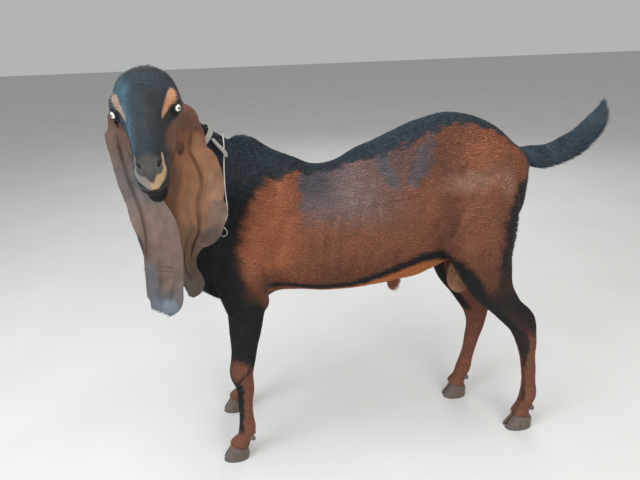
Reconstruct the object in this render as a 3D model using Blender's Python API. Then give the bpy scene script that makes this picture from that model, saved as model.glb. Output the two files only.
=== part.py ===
"""A life-size standing buck goat of a long-eared, Roman-nosed breed.

+X runs towards the tail, the left flank faces -Y and the soles stand on z = 0.
The flesh is drawn as tubes of oval rings, joined, smoothed and then parted by
thin cuts into named pieces. Horn, eyes, ears and the collar are separate.
"""
import math

import bmesh
import bpy
import numpy as np
from mathutils import Vector
from mathutils.bvhtree import BVHTree

# ---------------------------------------------------------------- sizes (metres)
CENTRE_X = 0.4383          # middle of the length, measured from between the forefeet
CENTRE_Y = -0.1062         # middle of the width, measured from the body's mid-plane
JOINT_GAP = 0.0003         # thin cut between neighbouring pieces
SHARP_ANGLE = math.radians(50)
FLESH_VOXEL = 0.0085       # grid used to join trunk, neck, legs and tail
HEAD_VOXEL = 0.0048        # finer grid for the head
FLESH_TRIANGLES = 2800
HEAD_TRIANGLES = 1000

HEAD_ORIGIN = np.array([-0.0637, -0.126, 1.047])
HEAD_YAW = 8.2             # degrees, face turned from -Y towards the tail
HEAD_PITCH = 21.0          # degrees, long axis of the skull below level
HEAD_ROLL = 2.8            # degrees, left side up
EYE_PLACE = (0.116, 0.0525, 0.039)
EYE_RADIUS = 0.0125

FORE_FOOT_SPREAD = 0.104   # foot centre from the mid-plane
HIND_FOOT_SPREAD = 0.082
RIGHT_FORE_SHIFT = -0.018  # right forefoot stands this far ahead of the left
CLAW_WIDTH = 0.0245
CLEFT = 0.0015             # half the gap between the two claws

STRAP_WIDTH = 0.013
STRAP_THICKNESS = 0.003
STRAP_LIFT = 0.0036         # clear of the coat below it
TONGUE_START = np.array([0.0385, -0.0420, 0.9375])
TONGUE_END = np.array([0.0766, -0.0526, 0.8890])
TONGUE_LIFT = 0.0058        # height of its middle line above the neck
TONGUE_TILT = 0.0084        # further rise at its tip, over the cord
CORD_RADIUS = 0.0016
RING_RADIUS = 0.0135
RING_WIRE = 0.0015
RING_POINT = 4             # which of the cord's points carries the ring
RING_FACING = np.array([0.20, -0.80, 0.60])
RING_HANG = np.array([-0.35, -0.75, -1.0])

COLOURS = {
    "bay": ((0.245, 0.085, 0.040, 1.0), 0.55),
    "black": ((0.020, 0.021, 0.025, 1.0), 0.50),
    "brown": ((0.190, 0.075, 0.035, 1.0), 0.55),
    "tan": ((0.420, 0.190, 0.080, 1.0), 0.60),
    "mauve": ((0.190, 0.140, 0.125, 1.0), 0.65),
    "slate": ((0.035, 0.045, 0.055, 1.0), 0.50),
    "horn": ((0.110, 0.095, 0.085, 1.0), 0.45),
    "eye": ((0.600, 0.600, 0.560, 1.0), 0.10),
    "webbing": ((0.300, 0.290, 0.260, 1.0), 0.85),
    "cord": ((0.480, 0.440, 0.380, 1.0), 0.80),
    "steel": ((0.450, 0.440, 0.420, 1.0), 0.35),
}
METALS = {"steel"}

# Trunk rings: distance along, back, belly, half width, roundness above and below.
TRUNK = [
    (-0.060, 0.690, 0.580, 0.028, 1.00, 0.95),
    (-0.050, 0.745, 0.548, 0.062, 1.00, 0.90),
    (-0.024, 0.810, 0.520, 0.088, 1.00, 0.88),
    (0.025, 0.882, 0.490, 0.103, 1.05, 0.88),
    (0.080, 0.933, 0.476, 0.111, 1.15, 0.90),
    (0.125, 0.932, 0.484, 0.115, 1.25, 0.93),
    (0.170, 0.905, 0.508, 0.121, 1.20, 0.95),
    (0.220, 0.880, 0.512, 0.131, 1.10, 0.93),
    (0.270, 0.857, 0.509, 0.142, 1.05, 0.92),
    (0.330, 0.857, 0.509, 0.152, 1.00, 0.92),
    (0.390, 0.886, 0.512, 0.156, 1.00, 0.92),
    (0.460, 0.915, 0.520, 0.156, 1.00, 0.92),
    (0.540, 0.948, 0.529, 0.147, 1.00, 0.95),
    (0.620, 0.968, 0.558, 0.132, 1.00, 1.00),
    (0.690, 0.956, 0.590, 0.122, 1.00, 1.00),
    (0.750, 0.926, 0.612, 0.108, 1.00, 1.00),
    (0.800, 0.886, 0.640, 0.080, 1.00, 1.00),
    (0.828, 0.862, 0.678, 0.056, 1.00, 1.00),
    (0.846, 0.832, 0.735, 0.024, 1.00, 1.00),
]

# Tube rows: centre, direction of the upper side, size up, size down, half width.
NECK = [
    ((0.105, 0.000, 0.735), (0.45, 0.00, 0.90), 0.148, 0.150, 0.096),
    ((0.045, -0.002, 0.810), (0.45, 0.05, 0.90), 0.126, 0.130, 0.086),
    ((0.003, -0.010, 0.872), (0.55, 0.25, 0.80), 0.092, 0.105, 0.071),
    ((-0.033, -0.032, 0.930), (0.50, 0.50, 0.70), 0.072, 0.085, 0.061),
    ((-0.053, -0.065, 0.985), (0.30, 0.70, 0.65), 0.064, 0.072, 0.055),
    ((-0.062, -0.105, 1.030), (0.10, 0.80, 0.60), 0.061, 0.065, 0.050),
    ((-0.065, -0.145, 1.050), (0.05, 0.80, 0.62), 0.052, 0.060, 0.045),
]
TAIL = [
    ((0.770, 0.0, 0.838), (0.0, 0.0, 1.0), 0.030, 0.034, 0.030),
    ((0.820, 0.0, 0.844), (0.0, 0.0, 1.0), 0.028, 0.029, 0.027),
    ((0.885, 0.0, 0.843), (0.0, 0.0, 1.0), 0.030, 0.029, 0.024),
    ((0.930, 0.0, 0.853), (0.0, 0.0, 1.0), 0.034, 0.028, 0.023),
    ((0.970, 0.0, 0.873), (0.0, 0.0, 1.0), 0.034, 0.027, 0.021),
    ((1.003, 0.0, 0.905), (-0.6, 0.0, 0.8), 0.031, 0.025, 0.018),
    ((1.022, 0.0, 0.940), (-0.8, 0.0, 0.6), 0.021, 0.019, 0.014),
    ((1.028, 0.0, 0.970), (-0.9, 0.0, 0.3), 0.007, 0.008, 0.007),
]
# Skull rings: forward, top, bottom, half width, roundness above and below.
SKULL = [
    (-0.018, 0.042, -0.050, 0.034, 0.95, 1.00),
    (0.008, 0.070, -0.082, 0.053, 0.85, 1.00),
    (0.042, 0.087, -0.098, 0.065, 0.78, 1.00),
    (0.078, 0.092, -0.098, 0.066, 0.75, 1.00),
    (0.112, 0.088, -0.092, 0.057, 0.78, 1.00),
    (0.148, 0.077, -0.087, 0.045, 0.85, 1.15),
    (0.185, 0.060, -0.080, 0.036, 0.90, 1.30),
    (0.215, 0.038, -0.075, 0.031, 0.95, 1.40),
    (0.240, 0.013, -0.070, 0.0285, 1.00, 1.40),
    (0.258, -0.009, -0.062, 0.0245, 1.00, 1.30),
    (0.270, -0.026, -0.050, 0.012, 1.00, 1.15),
]
# Brow, cheek and nose on both sides of the head: centre and radii in its axes.
HEAD_PAIRED = [
    ((0.101, 0.0495, 0.047), (0.0280, 0.0165, 0.021)),
    ((0.085, 0.0380, -0.045), (0.0500, 0.0210, 0.042)),
    ((0.245, 0.0140, -0.012), (0.0200, 0.0145, 0.022)),
]
# Lips, chin and poll.
HEAD_SINGLE = [
    ((0.250, 0.0, -0.036), (0.0220, 0.0235, 0.018)),
    ((0.236, 0.0, -0.063), (0.0260, 0.0190, 0.016)),
    ((0.012, 0.0, 0.057), (0.0240, 0.0340, 0.018)),
]
# Outline of the lower jaw seen from the side: forward and crown of its corners.
JAW_OUTLINE = [(0.135, -0.150), (0.300, -0.150), (0.300, -0.0400), (0.205, -0.0500), (0.135, -0.0660)]
JAW_HALF_WIDTH = 0.10
NOSTRIL_PLACE = (0.2545, 0.0165, 0.004)
# Leg rows: along, height, size ahead, size behind, half width, spread.
FORE_LEG = [
    (0.090, 0.730, 0.060, 0.070, 0.022, 0.086),
    (0.066, 0.650, 0.072, 0.082, 0.034, 0.090),
    (0.078, 0.565, 0.062, 0.070, 0.040, 0.096),
    (0.088, 0.505, 0.054, 0.050, 0.040, 0.102),
    (0.080, 0.450, 0.044, 0.044, 0.036, 0.104),
    (0.071, 0.393, 0.036, 0.038, 0.032, 0.104),
    (0.062, 0.340, 0.033, 0.034, 0.030, 0.104),
    (0.056, 0.300, 0.033, 0.033, 0.030, 0.104),
    (0.061, 0.258, 0.027, 0.027, 0.024, 0.104),
    (0.057, 0.200, 0.0225, 0.0235, 0.018, 0.104),
    (0.055, 0.140, 0.022, 0.023, 0.018, 0.104),
    (0.054, 0.102, 0.026, 0.027, 0.024, 0.104),
    (0.042, 0.070, 0.023, 0.024, 0.022, 0.104),
    (0.026, 0.045, 0.030, 0.032, 0.025, 0.104),
    (0.018, 0.030, 0.032, 0.034, 0.026, 0.104),
]
HIND_LEG_LEFT = [
    (0.705, 0.850, 0.070, 0.070, 0.040, 0.066),
    (0.700, 0.760, 0.100, 0.094, 0.050, 0.084),
    (0.700, 0.655, 0.092, 0.096, 0.050, 0.096),
    (0.715, 0.580, 0.070, 0.080, 0.046, 0.099),
    (0.752, 0.500, 0.050, 0.058, 0.040, 0.096),
    (0.800, 0.440, 0.039, 0.043, 0.031, 0.090),
    (0.848, 0.388, 0.040, 0.042, 0.029, 0.086),
    (0.872, 0.330, 0.031, 0.031, 0.025, 0.084),
    (0.889, 0.250, 0.023, 0.024, 0.018, 0.083),
    (0.903, 0.165, 0.022, 0.023, 0.018, 0.082),
    (0.908, 0.120, 0.026, 0.026, 0.024, 0.082),
    (0.898, 0.080, 0.024, 0.025, 0.022, 0.082),
    (0.889, 0.050, 0.030, 0.032, 0.025, 0.082),
    (0.885, 0.032, 0.032, 0.034, 0.026, 0.082),
]
HIND_LEG_RIGHT = [
    (0.705, 0.850, 0.070, 0.070, 0.040, 0.066),
    (0.698, 0.760, 0.100, 0.094, 0.050, 0.084),
    (0.690, 0.655, 0.092, 0.098, 0.050, 0.096),
    (0.688, 0.570, 0.070, 0.086, 0.046, 0.101),
    (0.702, 0.480, 0.050, 0.068, 0.040, 0.098),
    (0.742, 0.410, 0.041, 0.054, 0.031, 0.092),
    (0.782, 0.352, 0.042, 0.048, 0.029, 0.088),
    (0.790, 0.295, 0.033, 0.033, 0.025, 0.085),
    (0.781, 0.225, 0.024, 0.026, 0.018, 0.083),
    (0.770, 0.150, 0.023, 0.024, 0.018, 0.082),
    (0.764, 0.112, 0.026, 0.026, 0.024, 0.082),
    (0.752, 0.075, 0.024, 0.025, 0.022, 0.082),
    (0.742, 0.050, 0.030, 0.032, 0.025, 0.082),
    (0.737, 0.032, 0.032, 0.034, 0.026, 0.082),
]
# Ear rows: centre, direction across, half width, bulge, thickness.
EAR_LEFT = [
    ((-0.014, -0.178, 1.038), (0.00, 0.93, 0.30), 0.018, 0.004, 0.012),
    ((0.014, -0.180, 1.031), (0.10, 0.93, 0.20), 0.024, 0.006, 0.009),
    ((0.028, -0.186, 1.003), (0.45, 0.85, 0.05), 0.031, 0.012, 0.007),
    ((0.031, -0.192, 0.950), (0.75, 0.62, -0.05), 0.040, 0.018, 0.006),
    ((0.015, -0.193, 0.872), (0.94, 0.32, -0.06), 0.064, 0.018, 0.005),
    ((0.005, -0.192, 0.836), (0.96, 0.24, -0.06), 0.069, 0.016, 0.005),
    ((0.006, -0.191, 0.800), (0.97, 0.20, -0.06), 0.071, 0.014, 0.005),
    ((0.005, -0.191, 0.769), (0.98, 0.18, -0.06), 0.057, 0.013, 0.005),
    ((-0.014, -0.191, 0.741), (0.98, 0.16, -0.06), 0.035, 0.012, 0.005),
    ((-0.028, -0.191, 0.705), (0.98, 0.16, -0.06), 0.025, 0.010, 0.005),
    ((-0.029, -0.192, 0.672), (0.98, 0.16, -0.06), 0.024, 0.008, 0.005),
    ((-0.018, -0.193, 0.632), (0.98, 0.16, -0.07), 0.024, 0.005, 0.005),
    ((-0.022, -0.193, 0.615), (0.98, 0.16, -0.07), 0.018, 0.003, 0.005),
    ((-0.028, -0.193, 0.604), (0.98, 0.16, -0.07), 0.009, 0.001, 0.004),
]
EAR_RIGHT = [
    ((-0.101, -0.188, 1.033), (0.00, -0.93, -0.30), 0.018, 0.004, 0.012),
    ((-0.133, -0.190, 1.026), (0.30, -0.90, -0.20), 0.024, 0.006, 0.009),
    ((-0.135, -0.192, 0.994), (0.64, -0.74, -0.10), 0.035, 0.010, 0.007),
    ((-0.123, -0.199, 0.940), (0.77, -0.62, 0.00), 0.042, 0.013, 0.006),
    ((-0.110, -0.210, 0.882), (0.85, -0.50, 0.00), 0.042, 0.014, 0.005),
    ((-0.092, -0.215, 0.844), (0.95, -0.30, 0.00), 0.047, 0.012, 0.005),
    ((-0.079, -0.218, 0.806), (0.98, -0.15, 0.00), 0.049, 0.010, 0.005),
    ((-0.070, -0.220, 0.737), (0.99, -0.10, 0.00), 0.045, 0.008, 0.005),
    ((-0.078, -0.220, 0.650), (0.99, -0.10, 0.00), 0.043, 0.008, 0.005),
    ((-0.085, -0.218, 0.604), (0.99, -0.10, 0.05), 0.039, 0.006, 0.005),
    ((-0.097, -0.217, 0.581), (0.99, -0.10, 0.16), 0.025, 0.003, 0.004),
]
# Muscle and bone masses: centre, radii along, across and up.
MASSES = [
    ((0.012, 0.058, 0.650), (0.066, 0.052, 0.095)),
    ((0.140, 0.066, 0.752), (0.072, 0.050, 0.112)),
    ((0.680, 0.062, 0.858), (0.090, 0.060, 0.054)),
    ((0.620, 0.097, 0.858), (0.032, 0.024, 0.026)),
    ((0.108, 0.086, 0.525), (0.042, 0.034, 0.050)),
]
# Cord points: place near the flesh, height above it.
CORD_POINTS = [
    ((0.058, 0.000, 0.935), 0.0064),
    ((0.063, -0.052, 0.880), 0.0064),
    ((0.066, -0.095, 0.805), 0.0064),
    ((0.064, -0.110, 0.760), 0.0050),
    ((0.048, -0.112, 0.736), 0.0125),
    ((0.008, -0.095, 0.705), 0.0050),
    ((-0.038, -0.050, 0.705), 0.0064),
    ((-0.052, 0.010, 0.712), 0.0064),
    ((-0.010, 0.080, 0.740), 0.0064),
    ((0.040, 0.080, 0.840), 0.0064),
]
PREPUCE = ((0.496, 0.0, 0.502), (0.020, 0.015, 0.036))
SCROTUM_TOP = 0.600
SCROTUM_BOTTOM = 0.452
SCROTUM_ALONG = 0.688


def smooth_rows(rows, count):
    """Rows of numbers resampled evenly by a cubic through every row."""
    rows = np.asarray(rows, float)
    steps = np.linalg.norm(np.diff(rows[:, :3], axis=0), axis=1)
    place = np.concatenate([[0.0], np.cumsum(steps)])
    wanted = np.linspace(0.0, place[-1], count)
    gap = np.diff(place)[:, None]
    rise = np.diff(rows, axis=0) / gap
    slope = np.vstack([rise[:1], rise])
    slope[1:-1] = (rise[:-1] * gap[1:] + rise[1:] * gap[:-1]) / (gap[:-1] + gap[1:])
    low = np.clip(np.searchsorted(place, wanted, side="right") - 1, 0, len(place) - 2)
    share = ((wanted - place[low]) / gap[low, 0])[:, None]
    span = gap[low]
    start = (2 * share**3 - 3 * share**2 + 1) * rows[low]
    leave = (share**3 - 2 * share**2 + share) * span * slope[low]
    arrive = (share**3 - share**2) * span * slope[low + 1]
    end = (3 * share**2 - 2 * share**3) * rows[low + 1]
    return start + leave + end + arrive


def unit(vectors):
    return vectors / np.linalg.norm(vectors, axis=-1, keepdims=True)


def path_frame(rows, squared=True):
    """Centres, the given side direction, squared to the path or as it is, and the third."""
    centres = rows[:, :3]
    along = unit(np.gradient(centres, axis=0))
    given = rows[:, 3:6]
    if squared:
        given = given - (given * along).sum(1)[:, None] * along
    given = unit(given)
    return centres, given, unit(np.cross(along, given))


def skin_rings(points):
    """Faces of a tube whose rings are the rows of points, closed by end fans."""
    rings, around, _ = points.shape
    first = np.arange(rings - 1)[:, None] * around
    here = np.arange(around)[None]
    after = (here + 1) % around
    quads = np.stack([first + here, first + after, first + around + after,
                      first + around + here], -1).reshape(-1, 4)
    tip = rings * around
    last = (rings - 1) * around
    fans = [(tip, (j + 1) % around, j) for j in range(around)]
    fans += [(tip + 1, last + j, last + (j + 1) % around) for j in range(around)]
    verts = np.vstack([points.reshape(-1, 3), points[0].mean(0), points[-1].mean(0)])
    return verts, [tuple(map(int, q)) for q in quads] + fans


def oval_tube(rows, rings, around, squared=True):
    """A tube of superellipse rings: size up, down and sideways, two roundness powers."""
    rows = smooth_rows(rows, rings)
    centres, up, side = path_frame(rows, squared)
    turn = np.linspace(0.0, 2.0 * math.pi, around, endpoint=False)
    cos, sin = np.cos(turn)[None], np.sin(turn)[None]
    power = np.where(sin >= 0.0, rows[:, 9:10], rows[:, 10:11])
    across = np.sign(cos) * np.abs(cos) ** power * rows[:, 8:9]
    reach = np.where(sin >= 0.0, rows[:, 6:7], rows[:, 7:8])
    rise = np.sign(sin) * np.abs(sin) ** power * reach
    points = centres[:, None] + across[..., None] * side[:, None] + rise[..., None] * up[:, None]
    return skin_rings(points)


def ear_sheet(rows, rings, across):
    """A bulged sheet with rounded edges carried along the ear's middle line."""
    rows = smooth_rows(rows, rings)
    centres, wide, normal = path_frame(rows)
    share = np.cos(np.linspace(0.0, math.pi, across + 1))
    half = rows[:, 6:7]
    thick = rows[:, 8:9] / 2.0
    rim = np.sqrt(np.clip(1.0 - share**4, 0.0, 1.0))
    bulge = rows[:, 7:8] * (1.0 - share**2)
    middle = centres[:, None] + wide[:, None] * (half * share)[..., None]
    outer = middle - normal[:, None] * (bulge + thick * rim)[..., None]
    inner = middle - normal[:, None] * (bulge - thick * rim)[..., None]
    points = np.concatenate([outer, inner[:, -2:0:-1]], axis=1)
    return skin_rings(points)


def ellipsoid(centre, radii, steps=12, axes=None):
    """A ball of latitude rings stretched by three radii."""
    axes = np.eye(3) if axes is None else axes
    polar = np.linspace(0.0, math.pi, steps + 1)[1:-1]
    turn = np.linspace(0.0, 2.0 * math.pi, 2 * steps, endpoint=False)
    ball = np.stack([
        np.sin(polar)[:, None] * np.cos(turn) * radii[0],
        np.sin(polar)[:, None] * np.sin(turn) * radii[1],
        np.repeat(np.cos(polar)[:, None], len(turn), 1) * radii[2],
    ], -1)
    points = ball @ axes + np.asarray(centre)
    verts, faces = skin_rings(points)
    verts[-2] = np.array([0.0, 0.0, radii[2]]) @ axes + centre
    verts[-1] = np.array([0.0, 0.0, -radii[2]]) @ axes + centre
    return verts, faces


def head_axes():
    """Rows: forward along the muzzle, towards the left ear, up through the crown."""
    yaw, pitch, roll = (math.radians(a) for a in (HEAD_YAW, HEAD_PITCH, HEAD_ROLL))
    level = np.array([math.sin(yaw), -math.cos(yaw), 0.0])
    left = np.array([math.cos(yaw), math.sin(yaw), 0.0])
    sky = np.array([0.0, 0.0, 1.0])
    forward = level * math.cos(pitch) - sky * math.sin(pitch)
    crown = level * math.sin(pitch) + sky * math.cos(pitch)
    return np.stack([forward, left * math.cos(roll) + crown * math.sin(roll),
                     crown * math.cos(roll) - left * math.sin(roll)])


HEAD = head_axes()


def on_head(forward, left, crown):
    return HEAD_ORIGIN + np.array([forward, left, crown]) @ HEAD


def new_object(name, verts, faces):
    """A mesh object in the row frame, with outward faces."""
    mesh = bpy.data.meshes.new(name)
    shift = np.array([CENTRE_X, CENTRE_Y, 0.0])
    mesh.from_pydata((np.asarray(verts) - shift).tolist(), [], faces)
    mesh.update()
    piece = bpy.data.objects.new(name, mesh)
    bpy.context.scene.collection.objects.link(piece)
    work = bmesh.new()
    work.from_mesh(mesh)
    bmesh.ops.remove_doubles(work, verts=work.verts, dist=1e-5)
    bmesh.ops.recalc_face_normals(work, faces=work.faces)
    work.to_mesh(mesh)
    work.free()
    return piece


def drop(piece):
    mesh = piece.data
    bpy.data.objects.remove(piece, do_unlink=True)
    bpy.data.meshes.remove(mesh)


def bake(piece):
    """Replaces the mesh by the result of its modifiers."""
    bpy.context.view_layer.update()
    graph = bpy.context.evaluated_depsgraph_get()
    fresh = bpy.data.meshes.new_from_object(piece.evaluated_get(graph))
    old = piece.data
    piece.modifiers.clear()
    piece.data = fresh
    bpy.data.meshes.remove(old)


def boolean(piece, tool, operation):
    cut = piece.modifiers.new("cut", "BOOLEAN")
    cut.operation = operation
    cut.solver = "EXACT"
    cut.object = tool
    tool.hide_render = True
    tool.display_type = "WIRE"
    bake(piece)


def joined(name, shapes, voxel, rounds, triangles):
    """Many closed shapes joined on a grid, smoothed and thinned to few triangles."""
    verts, faces, base = [], [], 0
    for points, polygons in shapes:
        verts.append(points)
        faces += [tuple(i + base for i in polygon) for polygon in polygons]
        base += len(points)
    piece = new_object(name, np.vstack(verts), faces)
    grid = piece.modifiers.new("grid", "REMESH")
    grid.mode = "VOXEL"
    grid.voxel_size = voxel
    soft = piece.modifiers.new("soft", "SMOOTH")
    soft.factor = 0.5
    soft.iterations = rounds
    bake(piece)
    piece.data.calc_loop_triangles()
    thin = piece.modifiers.new("thin", "DECIMATE")
    thin.ratio = triangles / len(piece.data.loop_triangles)
    thin.use_collapse_triangulate = True
    bake(piece)
    return piece


def grown(outline, amount):
    """A convex outline (anticlockwise) with every side moved outwards."""
    outline = np.asarray(outline, float)
    ahead = np.roll(outline, -1, axis=0) - outline
    normal = unit(np.stack([ahead[:, 1], -ahead[:, 0]], -1))
    back = np.roll(normal, 1, axis=0)
    turn = 1.0 + (normal * back).sum(1)[:, None]
    return outline + (normal + back) / turn * amount


def prism(name, outline, low, high, frame=None):
    """An outline in the x-z plane carried across in y, in the world or the head's axes."""
    count = len(outline)
    near = np.array([(a, low, b) for a, b in outline])
    far = np.array([(a, high, b) for a, b in outline])
    points = np.vstack([near, far])
    if frame is not None:
        points = HEAD_ORIGIN + points @ HEAD
    faces = [tuple(range(count)), tuple(range(2 * count - 1, count - 1, -1))]
    faces += [(i, count + i, count + (i + 1) % count, (i + 1) % count) for i in range(count)]
    return new_object(name, points, faces)


def hollow_for(piece, gap, *others):
    """Make room for one piece, and a thin gap round it, in others."""
    tidy(piece)
    grow = piece.copy()
    grow.data = piece.data.copy()
    bpy.context.scene.collection.objects.link(grow)
    work = bmesh.new()
    work.from_mesh(grow.data)
    for vert in work.verts:
        vert.co += vert.normal * gap
    work.to_mesh(grow.data)
    work.free()
    for other in others:
        boolean(other, grow, "DIFFERENCE")
    drop(grow)


def carve(piece, name, outline, low, high, frame=None):
    """Parts the piece along a prism, leaving a thin gap, and returns the inside."""
    half = JOINT_GAP / 2.0
    inside = piece.copy()
    inside.data = piece.data.copy()
    inside.name = name
    bpy.context.scene.collection.objects.link(inside)
    tight = prism("tight", grown(outline, -half), low + half, high - half, frame)
    wide = prism("wide", grown(outline, half), low - half, high + half, frame)
    boolean(inside, tight, "INTERSECT")
    boolean(piece, wide, "DIFFERENCE")
    drop(tight)
    drop(wide)
    return inside


def side_of(piece, point, normal):
    """Keeps the part of a piece ahead of a plane and closes the cut."""
    shift = Vector((CENTRE_X, CENTRE_Y, 0.0))
    normal = Vector(normal).normalized()
    work = bmesh.new()
    work.from_mesh(piece.data)
    everything = work.verts[:] + work.edges[:] + work.faces[:]
    cut = bmesh.ops.bisect_plane(work, geom=everything, plane_co=Vector(point) - shift,
                                 plane_no=normal, clear_inner=True)
    rim = [e for e in cut["geom_cut"] if isinstance(e, bmesh.types.BMEdge)]
    bmesh.ops.holes_fill(work, edges=rim, sides=0)
    bmesh.ops.triangulate(work, faces=[f for f in work.faces if len(f.verts) > 4])
    work.to_mesh(piece.data)
    work.free()


def split(piece, name, point, normal):
    """Cuts a piece in two by a plane; the part ahead of the plane takes the name."""
    ahead = piece.copy()
    ahead.data = piece.data.copy()
    ahead.name = name
    bpy.context.scene.collection.objects.link(ahead)
    step = Vector(normal).normalized() * (JOINT_GAP / 2.0)
    side_of(ahead, Vector(point) + step, normal)
    side_of(piece, Vector(point) - step, -Vector(normal))
    return ahead


def tidy(piece):
    """Keeps the largest closed body and removes needle triangles."""
    work = bmesh.new()
    work.from_mesh(piece.data)
    bmesh.ops.triangulate(work, faces=work.faces)
    bmesh.ops.remove_doubles(work, verts=work.verts, dist=2e-5)
    bmesh.ops.dissolve_degenerate(work, edges=work.edges, dist=2e-5)
    bmesh.ops.triangulate(work, faces=work.faces)
    left = set(work.verts)
    bodies = []
    while left:
        start = min(left, key=lambda v: v.index)
        body, edge = {start}, [start]
        left.discard(start)
        while edge:
            for link in edge.pop().link_edges:
                for vert in link.verts:
                    if vert in left:
                        left.discard(vert)
                        body.add(vert)
                        edge.append(vert)
        bodies.append(body)
    bodies.sort(key=len)
    extra = [v for body in bodies[:-1] for v in body]
    bmesh.ops.delete(work, geom=extra, context="VERTS")
    bmesh.ops.recalc_face_normals(work, faces=work.faces)
    work.to_mesh(piece.data)
    work.free()


def paint(piece, colour):
    shade, rough = COLOURS[colour]
    made = bpy.data.materials.new(piece.name)
    made.use_nodes = True
    surface = made.node_tree.nodes["Principled BSDF"]
    surface.inputs["Base Color"].default_value = shade
    surface.inputs["Roughness"].default_value = rough
    surface.inputs["Metallic"].default_value = 1.0 if colour in METALS else 0.0
    made.diffuse_color = shade
    piece.data.materials.clear()
    piece.data.materials.append(made)
    piece.data.shade_smooth()
    piece.data.set_sharp_from_angle(angle=SHARP_ANGLE)


def trunk_shape():
    rows = []
    for along, back, belly, wide, above, below in TRUNK:
        high = (back - belly) / 2.0
        rows.append((along, 0.0, (back + belly) / 2.0, 0, 0, 1, high, high, wide, above, below))
    return oval_tube(rows, 48, 32, squared=False)


def simple_rows(table):
    return [(*centre, *up, above, below, wide, 1.0, 1.0)
            for centre, up, above, below, wide in table]


def leg_shape(table, side, shift):
    """A leg: rings at right angles to its line, the upper side turned forwards."""
    rows = []
    for along, height, ahead, behind, wide, spread in table:
        moved = along + shift * min(1.0, max(0.0, (0.66 - height) / 0.5))
        rows.append((moved, side * spread, height, -1, 0, 0, ahead, behind, wide, 1.0, 1.0))
    return oval_tube(rows, 40, 18)


def skull_shape():
    rows = []
    for forward, top, bottom, wide, above, below in SKULL:
        centre = on_head(forward, 0.0, (top + bottom) / 2.0)
        high = (top - bottom) / 2.0
        rows.append((*centre, *HEAD[2], high, high, wide, above, below))
    return oval_tube(rows, 40, 32)


def head_shapes():
    """Skull, brow ridges, cheeks, nose, lips and chin, in the head's axes."""
    shapes = [skull_shape(), oval_tube(simple_rows(NECK), 24, 24)]
    for (forward, left, crown), radii in HEAD_PAIRED:
        for side in (-1.0, 1.0):
            shapes.append(ellipsoid(on_head(forward, side * left, crown), radii, 12, HEAD))
    for place, radii in HEAD_SINGLE:
        shapes.append(ellipsoid(on_head(*place), radii, 12, HEAD))
    return shapes


def flesh_shapes():
    shapes = [trunk_shape(), oval_tube(simple_rows(NECK), 26, 26),
              oval_tube(simple_rows(TAIL), 30, 16), skull_shape()]
    shapes.append(leg_shape(FORE_LEG, -1.0, 0.0))
    shapes.append(leg_shape(FORE_LEG, 1.0, RIGHT_FORE_SHIFT))
    shapes.append(leg_shape(HIND_LEG_LEFT, -1.0, 0.0))
    shapes.append(leg_shape(HIND_LEG_RIGHT, 1.0, 0.0))
    for centre, radii in MASSES:
        for side in (-1.0, 1.0):
            place = (centre[0], side * centre[1], centre[2])
            shapes.append(ellipsoid(place, radii))
    return shapes


def arc(centre, radii, start, stop, count):
    """Points of an elliptical arc, anticlockwise, angles in degrees."""
    angles = np.radians(np.linspace(start, stop, count))
    return [(centre[0] + radii[0] * math.cos(a), centre[1] + radii[1] * math.sin(a))
            for a in angles]


def claw(name, toe, heel, middle, side, top_front, top_heel):
    """One claw: a flat sole, an upright inner wall, a curved outer wall, a sloping top."""
    levels = [0.0, 0.5, 1.0]
    count = 8
    rings = []
    for level in levels:
        front = toe + (0.030 if top_front > 0.04 else 0.026) * level
        back = heel - 0.002 * level
        half = (back - front) / 2.0
        mid = (back + front) / 2.0
        turn = np.linspace(0.0, math.pi, count)
        along = mid - np.cos(turn) * half
        out = CLAW_WIDTH * (1.0 - 0.10 * level) * np.sin(turn) ** 0.75
        share = (along - front) / (back - front)
        height = level * (top_front + (top_heel - top_front) * share)
        splay = CLEFT + 0.0022 * (1.0 - share) * (1.0 - level)
        across = middle + side * (splay + out)
        outer = np.stack([along, across, height], -1)
        inner_along = along[-2:0:-1]
        inner = np.stack([inner_along, middle + side * splay[-2:0:-1], height[-2:0:-1]], -1)
        rings.append(np.concatenate([outer, inner]))
    verts, faces = skin_rings(np.array(rings))
    return new_object(name, verts, faces)


def hug(tree, centre, across, up, lift, count):
    """A closed loop lying on the flesh in a slanting plane, lifted off it."""
    shift = np.array([CENTRE_X, CENTRE_Y, 0.0])
    hits = []
    for turn in np.linspace(0.0, 2.0 * math.pi, count, endpoint=False):
        ray = unit(across * math.cos(turn) + up * math.sin(turn))
        origin = centre + ray * 0.30 - shift
        spot = tree.ray_cast(Vector(origin), Vector(-ray))[0]
        hits.append(np.array(spot) + shift + ray * lift)
    hits = np.array(hits)
    for _ in range(3):
        eased = (np.roll(hits, 1, 0) + 2.0 * hits + np.roll(hits, -1, 0)) / 4.0
        outward = ((eased - centre) ** 2).sum(1) > ((hits - centre) ** 2).sum(1)
        hits = np.where(outward[:, None], eased, hits)
    return hits


def band(name, edges, centre, normal, thick):
    """A flat strap between two closed loops that are its edges."""
    rings = []
    for loop, lift in ((edges[0], 0.0), (edges[1], 0.0), (edges[1], thick), (edges[0], thick)):
        out = unit(loop - centre - ((loop - centre) @ normal)[:, None] * normal)
        rings.append(loop + out * lift)
    return torus(name, np.stack(rings, 1))


def torus(name, points):
    """Faces of a closed tube whose sections are the rows of points."""
    rings, around, _ = points.shape
    faces = []
    for i in range(rings):
        for j in range(around):
            here, ahead = i * around, ((i + 1) % rings) * around
            step = (j + 1) % around
            faces.append((here + j, here + step, ahead + step, ahead + j))
    return new_object(name, points.reshape(-1, 3), faces)


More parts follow.
